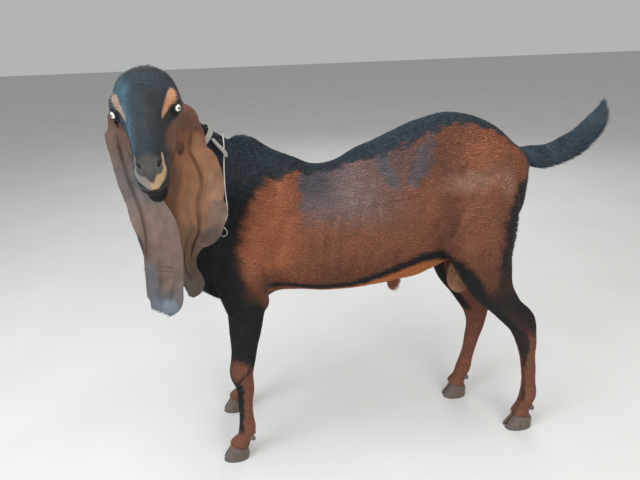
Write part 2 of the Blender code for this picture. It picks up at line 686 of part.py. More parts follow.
def round_loop(name, centre, across, up, radius, wire, steps=18, around=5):
    """A ring of round wire in the plane of two directions."""
    turn = np.linspace(0.0, 2.0 * math.pi, steps, endpoint=False)[:, None, None]
    small = np.linspace(0.0, 2.0 * math.pi, around, endpoint=False)[None, :, None]
    axis = np.cross(across, up)
    radial = across * np.cos(turn) + up * np.sin(turn)
    points = centre + radial * (radius + wire * np.cos(small)) + axis * wire * np.sin(small)
    return torus(name, points)


def draped(tree, points, count):
    """A closed loop through named points set on the flesh, each lifted by its own height."""
    shift = np.array([CENTRE_X, CENTRE_Y, 0.0])
    rows = np.array([(*place, lift) for place, lift in points])
    rows = np.vstack([rows[-2:], rows, rows[:3]])
    fine = smooth_rows(rows, 400)
    first = int(np.argmin(np.linalg.norm(fine[:200, :3] - rows[2, :3], axis=1)))
    last = 200 + int(np.argmin(np.linalg.norm(fine[200:, :3] - rows[2, :3], axis=1)))
    fine = fine[np.linspace(first, last, count + 1).round().astype(int)[:-1]]
    loop = fine[:, :3]
    for _ in range(3):
        resting, outward = [], []
        for place, lift in zip(loop, fine[:, 3]):
            spot, normal, _, _ = tree.find_nearest(Vector(place - shift))
            resting.append(np.array(spot) + shift + np.array(normal) * lift)
            outward.append(np.array(normal))
        loop = np.array(resting)
        eased = (np.roll(loop, -1, 0) + 2.0 * loop + np.roll(loop, 1, 0)) / 4.0
        inward = ((eased - loop) * np.array(outward)).sum(1) < 0.0
        loop = np.where(inward[:, None], loop, eased)
    return loop, np.array(outward)


def wire_loop(name, loop, outward, radius, around=4):
    """A round cord along a closed loop."""
    along = unit(np.roll(loop, -1, 0) - np.roll(loop, 1, 0))
    side = unit(np.cross(along, outward))
    out = np.cross(side, along)
    small = np.linspace(0.0, 2.0 * math.pi, around, endpoint=False)[None, :, None]
    points = loop[:, None] + radius * (np.cos(small) * out[:, None] + np.sin(small) * side[:, None])
    return torus(name, points)


for item in list(bpy.data.objects):
    bpy.data.objects.remove(item, do_unlink=True)

pieces = {}
trunk = joined("trunk", flesh_shapes(), FLESH_VOXEL, 6, FLESH_TRIANGLES)
head = joined("head", head_shapes(), HEAD_VOXEL, 4, HEAD_TRIANGLES)
side_of(head, (0.0, -0.112 - JOINT_GAP / 2.0, 0.0), (0.0, -1.0, 0.0))

# Legs leave the trunk along the outline of shoulder and thigh.
fore_outline = [(-0.10, 0.0), (0.172, 0.0)] + arc((0.075, 0.585), (0.085, 0.150), 0, 180, 13)
hind_outline = [(0.62, 0.0), (1.05, 0.0)] + arc((0.712, 0.640), (0.118, 0.165), 0, 180, 15)
for label, side in (("left", -1.0), ("right", 1.0)):
    for pair, outline, inner in (("fore", fore_outline, 0.050), ("hind", hind_outline, 0.034)):
        low, high = sorted((side * inner, side * 0.30))
        name = f"{pair}leg_{label}"
        pieces[name] = carve(trunk, name, outline, low, high)

pieces["neck"] = split(trunk, "neck", (0.045, 0.0, 0.800), (-0.84, 0.0, 0.54))
side_of(pieces["neck"], (0.0, -0.112 + JOINT_GAP / 2.0, 0.0), (0.0, 1.0, 0.0))
tail_outline = [(0.822, 0.800), (1.20, 0.780), (1.20, 1.10), (0.812, 1.10)]
pieces["tail"] = carve(trunk, "tail", tail_outline, -0.10, 0.10)
pieces["trunk"] = trunk
pieces["head"] = head

# The lower jaw is parted from the head along the line of the lips.
pieces["lower_jaw"] = carve(head, "lower_jaw", JAW_OUTLINE, -JAW_HALF_WIDTH, JAW_HALF_WIDTH, "head")

# Feet: coronet, knee and hock cuts, then claws and dewclaws.
feet = {
    "fore_left": (-0.024, 0.052, -FORE_FOOT_SPREAD, 0.052, 0.036, 0.300, 0.056, 0.067),
    "fore_right": (-0.042, 0.034, FORE_FOOT_SPREAD, 0.052, 0.036, 0.300, 0.040, 0.049),
    "hind_left": (0.846, 0.930, -HIND_FOOT_SPREAD, 0.052, 0.036, 0.372, 0.860, 0.919),
    "hind_right": (0.700, 0.778, HIND_FOOT_SPREAD, 0.052, 0.036, 0.334, 0.792, 0.772),
}
for label, (toe, heel, middle, front, back, joint, joint_x, spur) in feet.items():
    pair, side_name = label.split("_")
    leg = f"{pair}leg_{side_name}"
    slope = (back - front) / (heel - toe - 0.032)
    top = (toe + 0.030, 0.0, front + JOINT_GAP)
    side_of(pieces[leg], top, (-slope, 0.0, 1.0))
    lean = (0.0, 0.0, -1.0) if pair == "fore" else (0.35, 0.0, -1.0)
    pieces[f"{leg}_lower"] = split(pieces[leg], f"{leg}_lower", (joint_x, 0.0, joint), lean)
    shin = pieces[f"{leg}_lower"]
    for part, side in (("outer", math.copysign(1.0, middle)), ("inner", -math.copysign(1.0, middle))):
        name = f"claw_{label}_{part}"
        pieces[name] = claw(name, toe, heel, middle, side, front, back)
        name = f"dewclaw_{label}_{part}"
        place = (spur, middle + side * 0.0125, 0.079)
        lean = np.array([[0.86, 0.0, 0.50], [0.0, 1.0, 0.0], [-0.50, 0.0, 0.86]])
        radii = (0.0078, 0.0072, 0.0125)
        socket = ellipsoid(place, [r + JOINT_GAP for r in radii], 4, lean)
        hollow = new_object("hollow", *socket)
        boolean(shin, hollow, "DIFFERENCE")
        drop(hollow)
        pieces[name] = new_object(name, *ellipsoid(place, radii, 4, lean))

# Nostrils are hollows at the end of the nose.
for side in (-1.0, 1.0):
    place = on_head(NOSTRIL_PLACE[0], side * NOSTRIL_PLACE[1], NOSTRIL_PLACE[2])
    hollow = new_object("hollow", *ellipsoid(place, (0.011, 0.0045, 0.009), 4, HEAD))
    boolean(head, hollow, "DIFFERENCE")
    drop(hollow)

# Eyes and ears sit in hollows of the head.
for label, side, table in (("left", 1.0, EAR_LEFT), ("right", -1.0, EAR_RIGHT)):
    place = on_head(EYE_PLACE[0], side * EYE_PLACE[1], EYE_PLACE[2])
    hollow = new_object("hollow", *ellipsoid(place, [EYE_RADIUS + JOINT_GAP] * 3, 6, HEAD))
    boolean(head, hollow, "DIFFERENCE")
    drop(hollow)
    name = f"eye_{label}"
    pieces[name] = new_object(name, *ellipsoid(place, [EYE_RADIUS] * 3, 6, HEAD))
    rows = [(*centre, *wide, half, bulge, thick) for centre, wide, half, bulge, thick in table]
    name = f"ear_{label}"
    pieces[name] = new_object(name, *ear_sheet(rows, 20, 6))
    hollow_for(pieces[name], 2.0 * JOINT_GAP, head)

# Prepuce and scrotum hang from the belly in hollows of the trunk.
rows = []
for share, wide in ((0.0, 0.020), (0.25, 0.022), (0.5, 0.034), (0.75, 0.040), (0.93, 0.026), (1.0, 0.008)):
    height = SCROTUM_TOP + (SCROTUM_BOTTOM - SCROTUM_TOP) * share
    rows.append((SCROTUM_ALONG, 0.0, height, -1, 0, 0, wide * 0.78, wide * 0.78, wide, 1.0, 1.0))
soft_parts = {"scrotum": oval_tube(rows, 10, 10), "prepuce": ellipsoid(*PREPUCE, 6)}
for name, shape in soft_parts.items():
    pieces[name] = new_object(name, *shape)
    hollow_for(pieces[name], JOINT_GAP + 0.0001, pieces["trunk"], pieces["hindleg_left"],
               pieces["hindleg_right"])

# Collar: a strap behind the ears, its free end, a thin cord and the ring the cord carries.
whole = joined("whole", flesh_shapes(), FLESH_VOXEL, 6, 9000)
tree = BVHTree.FromObject(whole, bpy.context.evaluated_depsgraph_get())
strap_centre = np.array([-0.026, -0.025, 0.916])
strap_normal = unit(np.array([-0.50, -0.26, 0.83]))
strap_across = unit(np.cross(np.array([0.0, 1.0, 0.0]), strap_normal))
strap_up = np.cross(strap_normal, strap_across)
edges = []
for edge in (-0.5, 0.5):
    middle = strap_centre + strap_normal * STRAP_WIDTH * edge
    edges.append(hug(tree, middle, strap_across, strap_up, STRAP_LIFT, 34))
pieces["collar_strap"] = band("collar_strap", edges, strap_centre, strap_normal, STRAP_THICKNESS)
rows = []
for share, size in ((0.0, 0.4), (0.06, 0.85), (0.2, 1.0), (0.8, 1.0), (0.94, 0.8), (1.0, 0.3)):
    place = TONGUE_START + (TONGUE_END - TONGUE_START) * share
    spot, facing, _, _ = tree.find_nearest(Vector(place - (CENTRE_X, CENTRE_Y, 0.0)))
    place = np.array(spot) + (CENTRE_X, CENTRE_Y, 0.0) + np.array(facing) * (TONGUE_LIFT + TONGUE_TILT * share)
    rows.append((*place, *facing, 0.003 * size, 0.003 * size, 0.0048 * size, 1.0, 1.0))
pieces["collar_tongue"] = new_object("collar_tongue", *oval_tube(rows, 10, 8))
loop, lifted = draped(tree, CORD_POINTS, 54)
pieces["neck_cord"] = wire_loop("neck_cord", loop, lifted, CORD_RADIUS)
drop(whole)
held = int(np.argmin(np.linalg.norm(loop - np.array(CORD_POINTS[RING_POINT][0]), axis=1)))
cord_way = unit(loop[(held + 1) % len(loop)] - loop[held - 1])
ring_axis = unit(cord_way + RING_FACING)
ring_down = unit(RING_HANG - ring_axis * (ring_axis @ RING_HANG))
hang = RING_RADIUS - RING_WIRE - CORD_RADIUS - 0.0020
pieces["lead_ring"] = round_loop("lead_ring", loop[held] + ring_down * hang, ring_down,
                                 np.cross(ring_axis, ring_down), RING_RADIUS, RING_WIRE)

PAINTED = {
    "trunk": "bay", "neck": "black", "tail": "black", "head": "slate", "lower_jaw": "tan",
    "ear_left": "brown", "ear_right": "mauve", "prepuce": "brown", "scrotum": "tan",
    "collar_strap": "webbing", "collar_tongue": "webbing", "neck_cord": "cord", "lead_ring": "steel",
    "foreleg_left": "black", "foreleg_right": "black",
}
for name, piece in pieces.items():
    tidy(piece)
    colour = PAINTED.get(name)
    if colour is None:
        colour = "horn" if "claw" in name else "eye" if "eye" in name else "brown"
    paint(piece, colour)
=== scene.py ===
import math

import bpy
import numpy as np
from mathutils import Matrix, Vector
from mathutils.bvhtree import BVHTree


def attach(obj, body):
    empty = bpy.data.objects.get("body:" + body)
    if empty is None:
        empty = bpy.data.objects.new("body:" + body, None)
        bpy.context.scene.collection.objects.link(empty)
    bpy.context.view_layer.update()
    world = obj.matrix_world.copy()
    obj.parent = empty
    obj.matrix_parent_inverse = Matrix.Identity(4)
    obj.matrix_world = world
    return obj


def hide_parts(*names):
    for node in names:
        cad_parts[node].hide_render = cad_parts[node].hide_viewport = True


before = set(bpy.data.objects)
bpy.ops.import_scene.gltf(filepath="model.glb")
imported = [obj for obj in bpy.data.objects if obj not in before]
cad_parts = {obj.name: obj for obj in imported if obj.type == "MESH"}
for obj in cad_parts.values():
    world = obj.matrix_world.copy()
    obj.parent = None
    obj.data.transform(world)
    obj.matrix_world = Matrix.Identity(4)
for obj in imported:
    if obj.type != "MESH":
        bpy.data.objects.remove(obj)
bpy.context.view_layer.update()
scene = bpy.context.scene
chance = np.random.default_rng(11)

# Everything below is in the goat's own axes: x runs from between the forefeet to the tail,
# y from the mid-plane (the left flank is -y) and z up. placeInFrame moves it to the frame.
bodyShift = np.array([0.4383, -0.1062, 0.0])


def unit(vectors):
    return vectors / np.maximum(np.linalg.norm(vectors, axis=-1, keepdims=True), 1e-9)


def step(low, high, values):
    # 0 below low, 1 above high, a smooth S between
    share = np.clip((values - low) / (high - low), 0.0, 1.0)
    return share * share * (3.0 - 2.0 * share)


def fall(low, high, values):
    # 1 below low, 0 above high
    return 1 - step(low, high, values)


def turns(count):
    # even angles once round, the last one short of the first
    return np.linspace(0.0, 2.0 * math.pi, count, endpoint=False)


def powered(values, power):
    # a power that keeps the sign: below 1 it squares a circle's corners out
    return np.sign(values) * np.abs(values) ** power


def mirrored(points):
    # both sides folded onto the positive one
    return np.stack([points[:, 0], np.abs(points[:, 1]), points[:, 2]], 1)


def easedLoop(loop):
    # each point of a closed line moved half way to the middle of its neighbours
    return (np.roll(loop, 1, 0) + 2.0 * loop + np.roll(loop, -1, 0)) / 4.0


def smoothRows(rows, count):
    # a cubic through every row, read at even distances along the row centres
    rows = np.asarray(rows, float)
    lengths = np.linalg.norm(np.diff(rows[:, :3], axis=0), axis=1)
    place = np.concatenate([[0.0], np.cumsum(lengths)])
    wanted = np.linspace(0.0, place[-1], count)
    gap = np.diff(place)[:, None]
    rise = np.diff(rows, axis=0) / gap
    slope = np.vstack([rise[:1], rise])
    slope[1:-1] = (rise[:-1] * gap[1:] + rise[1:] * gap[:-1]) / (gap[:-1] + gap[1:])
    low = np.clip(np.searchsorted(place, wanted, side="right") - 1, 0, len(place) - 2)
    share = ((wanted - place[low]) / gap[low, 0])[:, None]
    start = (2 * share**3 - 3 * share**2 + 1) * rows[low]
    leave = (share**3 - 2 * share**2 + share) * gap[low] * slope[low]
    arrive = (share**3 - share**2) * gap[low] * slope[low + 1]
    end = (3 * share**2 - 2 * share**3) * rows[low + 1]
    return start + leave + end + arrive


def pathFrame(rows, squared=True):
    # centres, the given side direction (squared to the path or as it is), and the third direction
    along = unit(np.gradient(rows[:, :3], axis=0))
    given = rows[:, 3:6]
    if squared:
        given = given - (given * along).sum(1)[:, None] * along
    given = unit(given)
    return rows[:, :3], given, unit(np.cross(along, given))


def gridFaces(rings, around, closedAlong=False):
    # quads between neighbouring rings of points, each ring closed on itself
    here = np.arange(rings if closedAlong else rings - 1)[:, None]
    first, ahead = here * around, (here + 1) % rings * around
    spot = np.arange(around)[None]
    after = (spot + 1) % around
    return np.stack([first + spot, first + after, ahead + after, ahead + spot], -1).reshape(-1, 4)


def capped(points):
    # a tube whose rings are the rows of points, each end closed by a fan of triangles
    rings, around, _ = points.shape
    tip, last = rings * around, (rings - 1) * around
    fans = [(tip, (j + 1) % around, j) for j in range(around)]
    fans += [(tip + 1, last + j, last + (j + 1) % around) for j in range(around)]
    verts = np.vstack([points.reshape(-1, 3), points[0].mean(0), points[-1].mean(0)])
    return verts, gridFaces(rings, around).tolist() + fans


def ovalTube(rows, rings, around, squared=True):
    # superellipse rings carried along the centres: size up, down, sideways, two roundness powers
    rows = smoothRows(rows, rings)
    centres, up, side = pathFrame(rows, squared)
    cos, sin = np.cos(turns(around))[None], np.sin(turns(around))[None]
    power = np.where(sin >= 0.0, rows[:, 9:10], rows[:, 10:11])
    across = powered(cos, power) * rows[:, 8:9]
    rise = powered(sin, power) * np.where(sin >= 0.0, rows[:, 6:7], rows[:, 7:8])
    return capped(centres[:, None] + across[..., None] * side[:, None] + rise[..., None] * up[:, None])


def ball(centre, radii, steps=24, axes=np.eye(3)):
    # latitude rings of a sphere stretched by three radii and turned to the given axes
    polar = np.linspace(0.0, math.pi, steps + 1)[1:-1, None]
    turn = turns(2 * steps)
    rings = np.stack([
        np.sin(polar) * np.cos(turn) * radii[0],
        np.sin(polar) * np.sin(turn) * radii[1],
        np.repeat(np.cos(polar), len(turn), 1) * radii[2],
    ], -1)
    verts, faces = capped(rings @ axes + np.asarray(centre))
    verts[-2] = np.array([0.0, 0.0, radii[2]]) @ axes + centre
    verts[-1] = np.array([0.0, 0.0, -radii[2]]) @ axes + centre
    return verts, faces


def placeInFrame(points):
    return (np.asarray(points) - bodyShift).astype(np.float32)


def makePiece(name, verts, faces):
    # mesh from goat-axes points; faces may be an array of equal polygons or a mixed list
    mesh = bpy.data.meshes.new(name)
    if isinstance(faces, np.ndarray):
        count, sides = faces.shape
        mesh.vertices.add(len(verts))
        mesh.vertices.foreach_set("co", placeInFrame(verts).ravel())
        mesh.loops.add(count * sides)
        mesh.loops.foreach_set("vertex_index", faces.astype(np.int32).ravel())
        mesh.polygons.add(count)
        mesh.polygons.foreach_set("loop_start", np.arange(0, count * sides, sides, dtype=np.int32))
        mesh.update(calc_edges=True)
    else:
        mesh.from_pydata(placeInFrame(verts).tolist(), [], faces)
    mesh.shade_smooth()
    piece = bpy.data.objects.new(name, mesh)
    scene.collection.objects.link(piece)
    return piece


def finishPiece(piece, material, slot, *nodes):
    # every piece rides on the one body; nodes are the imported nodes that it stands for
    piece.data.materials.append(material)
    if nodes:
        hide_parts(*nodes)
    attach(piece, "root")


def bakeModifiers(piece):
    view = bpy.context.evaluated_depsgraph_get()
    fresh = bpy.data.meshes.new_from_object(piece.evaluated_get(view))
    piece.modifiers.clear()
    piece.vertex_groups.clear()
    stale = piece.data
    piece.data = fresh
    bpy.data.meshes.remove(stale)


def readVectors(rows, key):
    flat = np.empty(len(rows) * 3, np.float32)
    rows.foreach_get(key, flat)
    return flat.reshape(-1, 3).astype(float)


def pointsOf(piece):
    return readVectors(piece.data.vertices, "co") + bodyShift


def normalsOf(piece):
    return readVectors(piece.data.vertex_normals, "vector")


def setColour(piece, colours):
    # colours is one row of red, green, blue for each vertex
    layer = piece.data.color_attributes.new("coat", "FLOAT_COLOR", "POINT")
    full = np.ones((len(colours), 4), np.float32)
    full[:, :3] = colours
    layer.data.foreach_set("color", full.ravel())


def setUv(piece, name, perVertex):
    layer = piece.data.uv_layers.new(name=name)
    order = np.empty(len(piece.data.loops), np.int32)
    piece.data.loops.foreach_get("vertex_index", order)
    layer.data.foreach_set("uv", perVertex[order].astype(np.float32).ravel())


def gridUv(along, around):
    # a map for a grid of points, from its values along and around
    return np.stack(np.broadcast_arrays(along[:, None], around[None]), -1).reshape(-1, 2)


def speckle(points, size, seed):
    # a cloudy pattern from -1 to 1: five slanting sine waves of about the given size
    dice = np.random.default_rng(seed)
    waves = unit(dice.normal(size=(5, 3))) * (2.0 * math.pi / size) * dice.uniform(0.6, 1.5, (5, 1))
    return np.sin(points @ waves.T + dice.uniform(0.0, 6.3, 5)).sum(1) / 3.0


# The animal's form
body = {
    # distance along, back, belly, half width, roundness above and below
    "trunk": [
        (-0.06, 0.69, 0.58, 0.028, 1, 0.95), (-0.05, 0.745, 0.548, 0.062, 1, 0.9),
        (-0.024, 0.81, 0.52, 0.088, 1, 0.88), (0.025, 0.882, 0.49, 0.103, 1.05, 0.88),
        (0.08, 0.933, 0.476, 0.111, 1.15, 0.9), (0.125, 0.932, 0.484, 0.115, 1.25, 0.93),
        (0.17, 0.905, 0.508, 0.121, 1.2, 0.95), (0.22, 0.88, 0.512, 0.131, 1.1, 0.93),
        (0.27, 0.857, 0.509, 0.142, 1.05, 0.92), (0.33, 0.857, 0.509, 0.152, 1, 0.92),
        (0.39, 0.886, 0.512, 0.156, 1, 0.92), (0.46, 0.915, 0.52, 0.156, 1, 0.92),
        (0.54, 0.948, 0.529, 0.147, 1, 0.95), (0.62, 0.968, 0.558, 0.132, 1, 1),
        (0.69, 0.956, 0.59, 0.122, 1, 1), (0.75, 0.926, 0.612, 0.108, 1, 1), (0.8, 0.886, 0.64, 0.08, 1, 1),
        (0.828, 0.862, 0.678, 0.056, 1, 1), (0.846, 0.832, 0.735, 0.024, 1, 1),
    ],
    # centre, direction of the upper side, size up, size down, half width
    "neck": [
        ((0.105, 0, 0.735), (0.45, 0, 0.9), 0.148, 0.15, 0.096),
        ((0.045, -0.002, 0.81), (0.45, 0.05, 0.9), 0.126, 0.13, 0.086),
        ((0.003, -0.01, 0.872), (0.55, 0.25, 0.8), 0.092, 0.105, 0.071),
        ((-0.033, -0.032, 0.93), (0.5, 0.5, 0.7), 0.072, 0.085, 0.061),
        ((-0.053, -0.065, 0.985), (0.3, 0.7, 0.65), 0.064, 0.072, 0.055),
        ((-0.062, -0.105, 1.03), (0.1, 0.8, 0.6), 0.061, 0.065, 0.05),
        ((-0.065, -0.145, 1.05), (0.05, 0.8, 0.62), 0.052, 0.06, 0.045),
    ],
    "tail": [
        ((0.77, 0, 0.838), (0, 0, 1), 0.03, 0.034, 0.03), ((0.82, 0, 0.844), (0, 0, 1), 0.028, 0.029, 0.027),
        ((0.885, 0, 0.843), (0, 0, 1), 0.03, 0.029, 0.024),
        ((0.93, 0, 0.853), (0, 0, 1), 0.034, 0.028, 0.023),
        ((0.97, 0, 0.873), (0, 0, 1), 0.034, 0.027, 0.021),
        ((1.003, 0, 0.905), (-0.6, 0, 0.8), 0.031, 0.025, 0.018),
        ((1.022, 0, 0.94), (-0.8, 0, 0.6), 0.021, 0.019, 0.014),
        ((1.028, 0, 0.97), (-0.9, 0, 0.3), 0.007, 0.008, 0.007),
    ],
    # along, height, size ahead, size behind, half width, spread from the mid-plane
    "foreLeg": [
        (0.09, 0.73, 0.06, 0.07, 0.022, 0.086), (0.066, 0.65, 0.072, 0.082, 0.034, 0.09),
        (0.078, 0.565, 0.062, 0.07, 0.04, 0.096), (0.088, 0.505, 0.054, 0.05, 0.04, 0.102),
        (0.08, 0.45, 0.044, 0.044, 0.036, 0.104), (0.071, 0.393, 0.036, 0.038, 0.032, 0.104),
        (0.062, 0.34, 0.033, 0.034, 0.03, 0.104), (0.056, 0.3, 0.033, 0.033, 0.03, 0.104),
        (0.061, 0.258, 0.027, 0.027, 0.024, 0.104), (0.057, 0.2, 0.0225, 0.0235, 0.018, 0.104),
        (0.055, 0.14, 0.022, 0.023, 0.018, 0.104), (0.054, 0.102, 0.026, 0.027, 0.024, 0.104),
        (0.042, 0.07, 0.023, 0.024, 0.022, 0.104), (0.026, 0.045, 0.03, 0.032, 0.025, 0.104),
        (0.018, 0.03, 0.032, 0.034, 0.026, 0.104),
    ],
    "hindLegLeft": [
        (0.705, 0.85, 0.07, 0.07, 0.04, 0.066), (0.7, 0.76, 0.1, 0.094, 0.05, 0.084),
        (0.7, 0.655, 0.092, 0.096, 0.05, 0.096), (0.715, 0.58, 0.07, 0.08, 0.046, 0.099),
        (0.752, 0.5, 0.05, 0.058, 0.04, 0.096), (0.8, 0.44, 0.039, 0.043, 0.031, 0.09),
        (0.848, 0.388, 0.04, 0.042, 0.029, 0.086), (0.872, 0.33, 0.031, 0.031, 0.025, 0.084),
        (0.889, 0.25, 0.023, 0.024, 0.018, 0.083), (0.903, 0.165, 0.022, 0.023, 0.018, 0.082),
        (0.908, 0.12, 0.026, 0.026, 0.024, 0.082), (0.898, 0.08, 0.024, 0.025, 0.022, 0.082),
        (0.889, 0.05, 0.03, 0.032, 0.025, 0.082), (0.885, 0.032, 0.032, 0.034, 0.026, 0.082),
    ],
    "hindLegRight": [
        (0.705, 0.85, 0.07, 0.07, 0.04, 0.066), (0.698, 0.76, 0.1, 0.094, 0.05, 0.084),
        (0.69, 0.655, 0.092, 0.098, 0.05, 0.096), (0.688, 0.57, 0.07, 0.086, 0.046, 0.101),
        (0.702, 0.48, 0.05, 0.068, 0.04, 0.098), (0.742, 0.41, 0.041, 0.054, 0.031, 0.092),
        (0.782, 0.352, 0.042, 0.048, 0.029, 0.088), (0.79, 0.295, 0.033, 0.033, 0.025, 0.085),
        (0.781, 0.225, 0.024, 0.026, 0.018, 0.083), (0.77, 0.15, 0.023, 0.024, 0.018, 0.082),
        (0.764, 0.112, 0.026, 0.026, 0.024, 0.082), (0.752, 0.075, 0.024, 0.025, 0.022, 0.082),
        (0.742, 0.05, 0.03, 0.032, 0.025, 0.082), (0.737, 0.032, 0.032, 0.034, 0.026, 0.082),
    ],
    # muscle and bone masses on both sides: centre and radii
    "masses": [
        ((0.012, 0.058, 0.65), (0.066, 0.052, 0.095)), ((0.14, 0.066, 0.752), (0.072, 0.05, 0.112)),
        ((0.68, 0.062, 0.858), (0.09, 0.06, 0.054)), ((0.62, 0.097, 0.858), (0.032, 0.024, 0.026)),
        ((0.108, 0.086, 0.525), (0.042, 0.034, 0.05)),
    ],
    # how far the right forefoot stands behind the left one; below 0 it stands ahead
    "rightForeShift": -0.018,
    # rings: share of the way down, half width; deep is its size along the body for that width
    "scrotum": {"along": 0.688, "top": 0.6, "bottom": 0.452, "deep": 0.78,
                "rings": ((0, 0.02), (0.25, 0.022), (0.5, 0.034), (0.75, 0.04), (0.93, 0.026), (1, 0.008))},
    # centre and radii
    "prepuce": ((0.496, 0, 0.502), (0.02, 0.015, 0.036)),
}

headForm = {
    "origin": np.array([-0.0637, -0.126, 1.047]),
    "yaw": 8.2, "pitch": 21.0, "roll": 2.8,  # degrees
    # forward, top, bottom, half width, roundness above and below
    "skull": [
        (-0.018, 0.042, -0.05, 0.034, 0.95, 1), (0.008, 0.07, -0.082, 0.053, 0.85, 1),
        (0.042, 0.087, -0.098, 0.065, 0.78, 1), (0.078, 0.092, -0.098, 0.066, 0.75, 1),
        (0.112, 0.088, -0.092, 0.057, 0.78, 1), (0.148, 0.077, -0.087, 0.045, 0.85, 1.15),
        (0.185, 0.06, -0.08, 0.036, 0.9, 1.3), (0.215, 0.038, -0.075, 0.031, 0.95, 1.4),
        (0.24, 0.013, -0.07, 0.0285, 1, 1.4), (0.258, -0.009, -0.062, 0.0245, 1, 1.3),
        (0.27, -0.026, -0.05, 0.012, 1, 1.15),
    ],
    # brow, cheek and nose on both sides
    "paired": [
        ((0.101, 0.0495, 0.047), (0.028, 0.0165, 0.021)), ((0.085, 0.038, -0.045), (0.05, 0.021, 0.042)),
        ((0.245, 0.014, -0.012), (0.02, 0.0145, 0.022)),
    ],
    # lips, chin and poll
    "single": [
        ((0.25, 0, -0.036), (0.022, 0.0235, 0.018)), ((0.236, 0, -0.063), (0.026, 0.019, 0.016)),
        ((0.012, 0, 0.057), (0.024, 0.034, 0.018)),
    ],
}


def headAxes():
    # rows: forward along the muzzle, towards the left ear, up through the crown
    yaw, pitch, roll = (math.radians(headForm[k]) for k in ("yaw", "pitch", "roll"))
    level = np.array([math.sin(yaw), -math.cos(yaw), 0.0])
    left = np.array([math.cos(yaw), math.sin(yaw), 0.0])
    sky = np.array([0.0, 0.0, 1.0])
    forward = level * math.cos(pitch) - sky * math.sin(pitch)
    crown = level * math.sin(pitch) + sky * math.cos(pitch)
    return np.stack([forward, left * math.cos(roll) + crown * math.sin(roll),
                     crown * math.cos(roll) - left * math.sin(roll)])


head = headAxes()


def onHead(forward, left, crown):
    return headForm["origin"] + np.array([forward, left, crown]) @ head


def toHead(points):
    return (points - headForm["origin"]) @ head.T


def uprightRows(table, origin, axes):
    # rows of a tube from how far along it, its top and bottom, half width and roundness
    rows = []
    for along, top, bottom, wide, above, below in table:
        high = (top - bottom) / 2.0
        centre = origin + np.array([along, 0.0, (top + bottom) / 2.0]) @ axes
        rows.append((*centre, *axes[2], high, high, wide, above, below))
    return rows


def plainRows(table):
    return [(*centre, *up, above, below, wide, 1.0, 1.0) for centre, up, above, below, wide in table]


def legRows(table, side, shift=0.0):
    # shift draws the lower leg along, most of all the foot
    rows = []
    for along, height, ahead, behind, wide, spread in table:
        moved = along + shift * min(1.0, max(0.0, (0.66 - height) / 0.5))
        rows.append((moved, side * spread, height, -1, 0, 0, ahead, behind, wide, 1.0, 1.0))
    return rows


legs = {
    "foreLeft": legRows(body["foreLeg"], -1.0),
    "foreRight": legRows(body["foreLeg"], 1.0, body["rightForeShift"]),
    "hindLeft": legRows(body["hindLegLeft"], -1.0),
    "hindRight": legRows(body["hindLegRight"], 1.0),
}
neckRows, tailRows = plainRows(body["neck"]), plainRows(body["tail"])


def fleshShapes():
    trunk = uprightRows(body["trunk"], np.zeros(3), np.eye(3))
    skull = uprightRows(headForm["skull"], headForm["origin"], head)
    shapes = [ovalTube(trunk, rings=120, around=96, squared=False),
              ovalTube(neckRows, rings=70, around=64), ovalTube(tailRows, rings=70, around=40),
              ovalTube(skull, rings=90, around=72)]
    shapes += [ovalTube(rows, rings=140, around=48) for rows in legs.values()]
    for side in (-1.0, 1.0):
        for (x, y, z), radii in body["masses"]:
            shapes.append(ball((x, side * y, z), radii, steps=32))
        for (forward, left, crown), radii in headForm["paired"]:
            shapes.append(ball(onHead(forward, side * left, crown), radii, steps=28, axes=head))
    shapes += [ball(onHead(*place), radii, steps=28, axes=head) for place, radii in headForm["single"]]
    bag = body["scrotum"]
    rows = [(bag["along"], 0.0, bag["top"] + (bag["bottom"] - bag["top"]) * share, -1, 0, 0,
             wide * bag["deep"], wide * bag["deep"], wide, 1.0, 1.0) for share, wide in bag["rings"]]
    return shapes + [ovalTube(rows, rings=40, around=40), ball(*body["prepuce"])]


def lineOf(rows):
    return np.array([row[:3] for row in rows])


# Regions of the coat: the line through each, its usual half thickness, its hair (length, width,
# lift off the skin, droop) and how deep the coat lies over the skin
regions = {
    "trunk": {"line": np.array([(-0.02, 0, 0.66), (0.2, 0, 0.7), (0.45, 0, 0.71), (0.66, 0, 0.76),
                                (0.74, 0, 0.77)]),
              "reach": 0.165, "hair": 0.019, "wide": 0.0016, "lift": 0.085, "droop": 0.3, "deep": 0.0036},
    "neck": {"line": lineOf(neckRows)[::-1][1:], "reach": 0.088,
             "hair": 0.022, "wide": 0.0016, "lift": 0.11, "droop": 0.55, "deep": 0.0042},
    "tail": {"line": lineOf(tailRows)[1:], "reach": 0.05,
             "hair": 0.026, "wide": 0.0016, "lift": 0.14, "droop": 0.1, "deep": 0.004},
    "head": {"line": np.array([onHead(0.262, 0, -0.035), onHead(0.15, 0, 0), onHead(0, 0, 0)]), "reach": 0.06,
             "hair": 0.007, "wide": 0.0009, "lift": 0.08, "droop": 0.05, "deep": 0.0012},
}
for name, rows in legs.items():
    fore = name.startswith("fore")
    regions[name] = {"line": lineOf(rows)[1 if fore else 2:-2], "reach": 0.042 if fore else 0.048,
                     "hair": 0.012, "wide": 0.0013, "lift": 0.08, "droop": 0.0, "deep": 0.002}


def shareAlong(points, start, span):
    # how far along a straight span each point lies, 0 at its start and 1 at its end
    return np.clip((points - start) @ span / (span @ span), 0.0, 1.0)


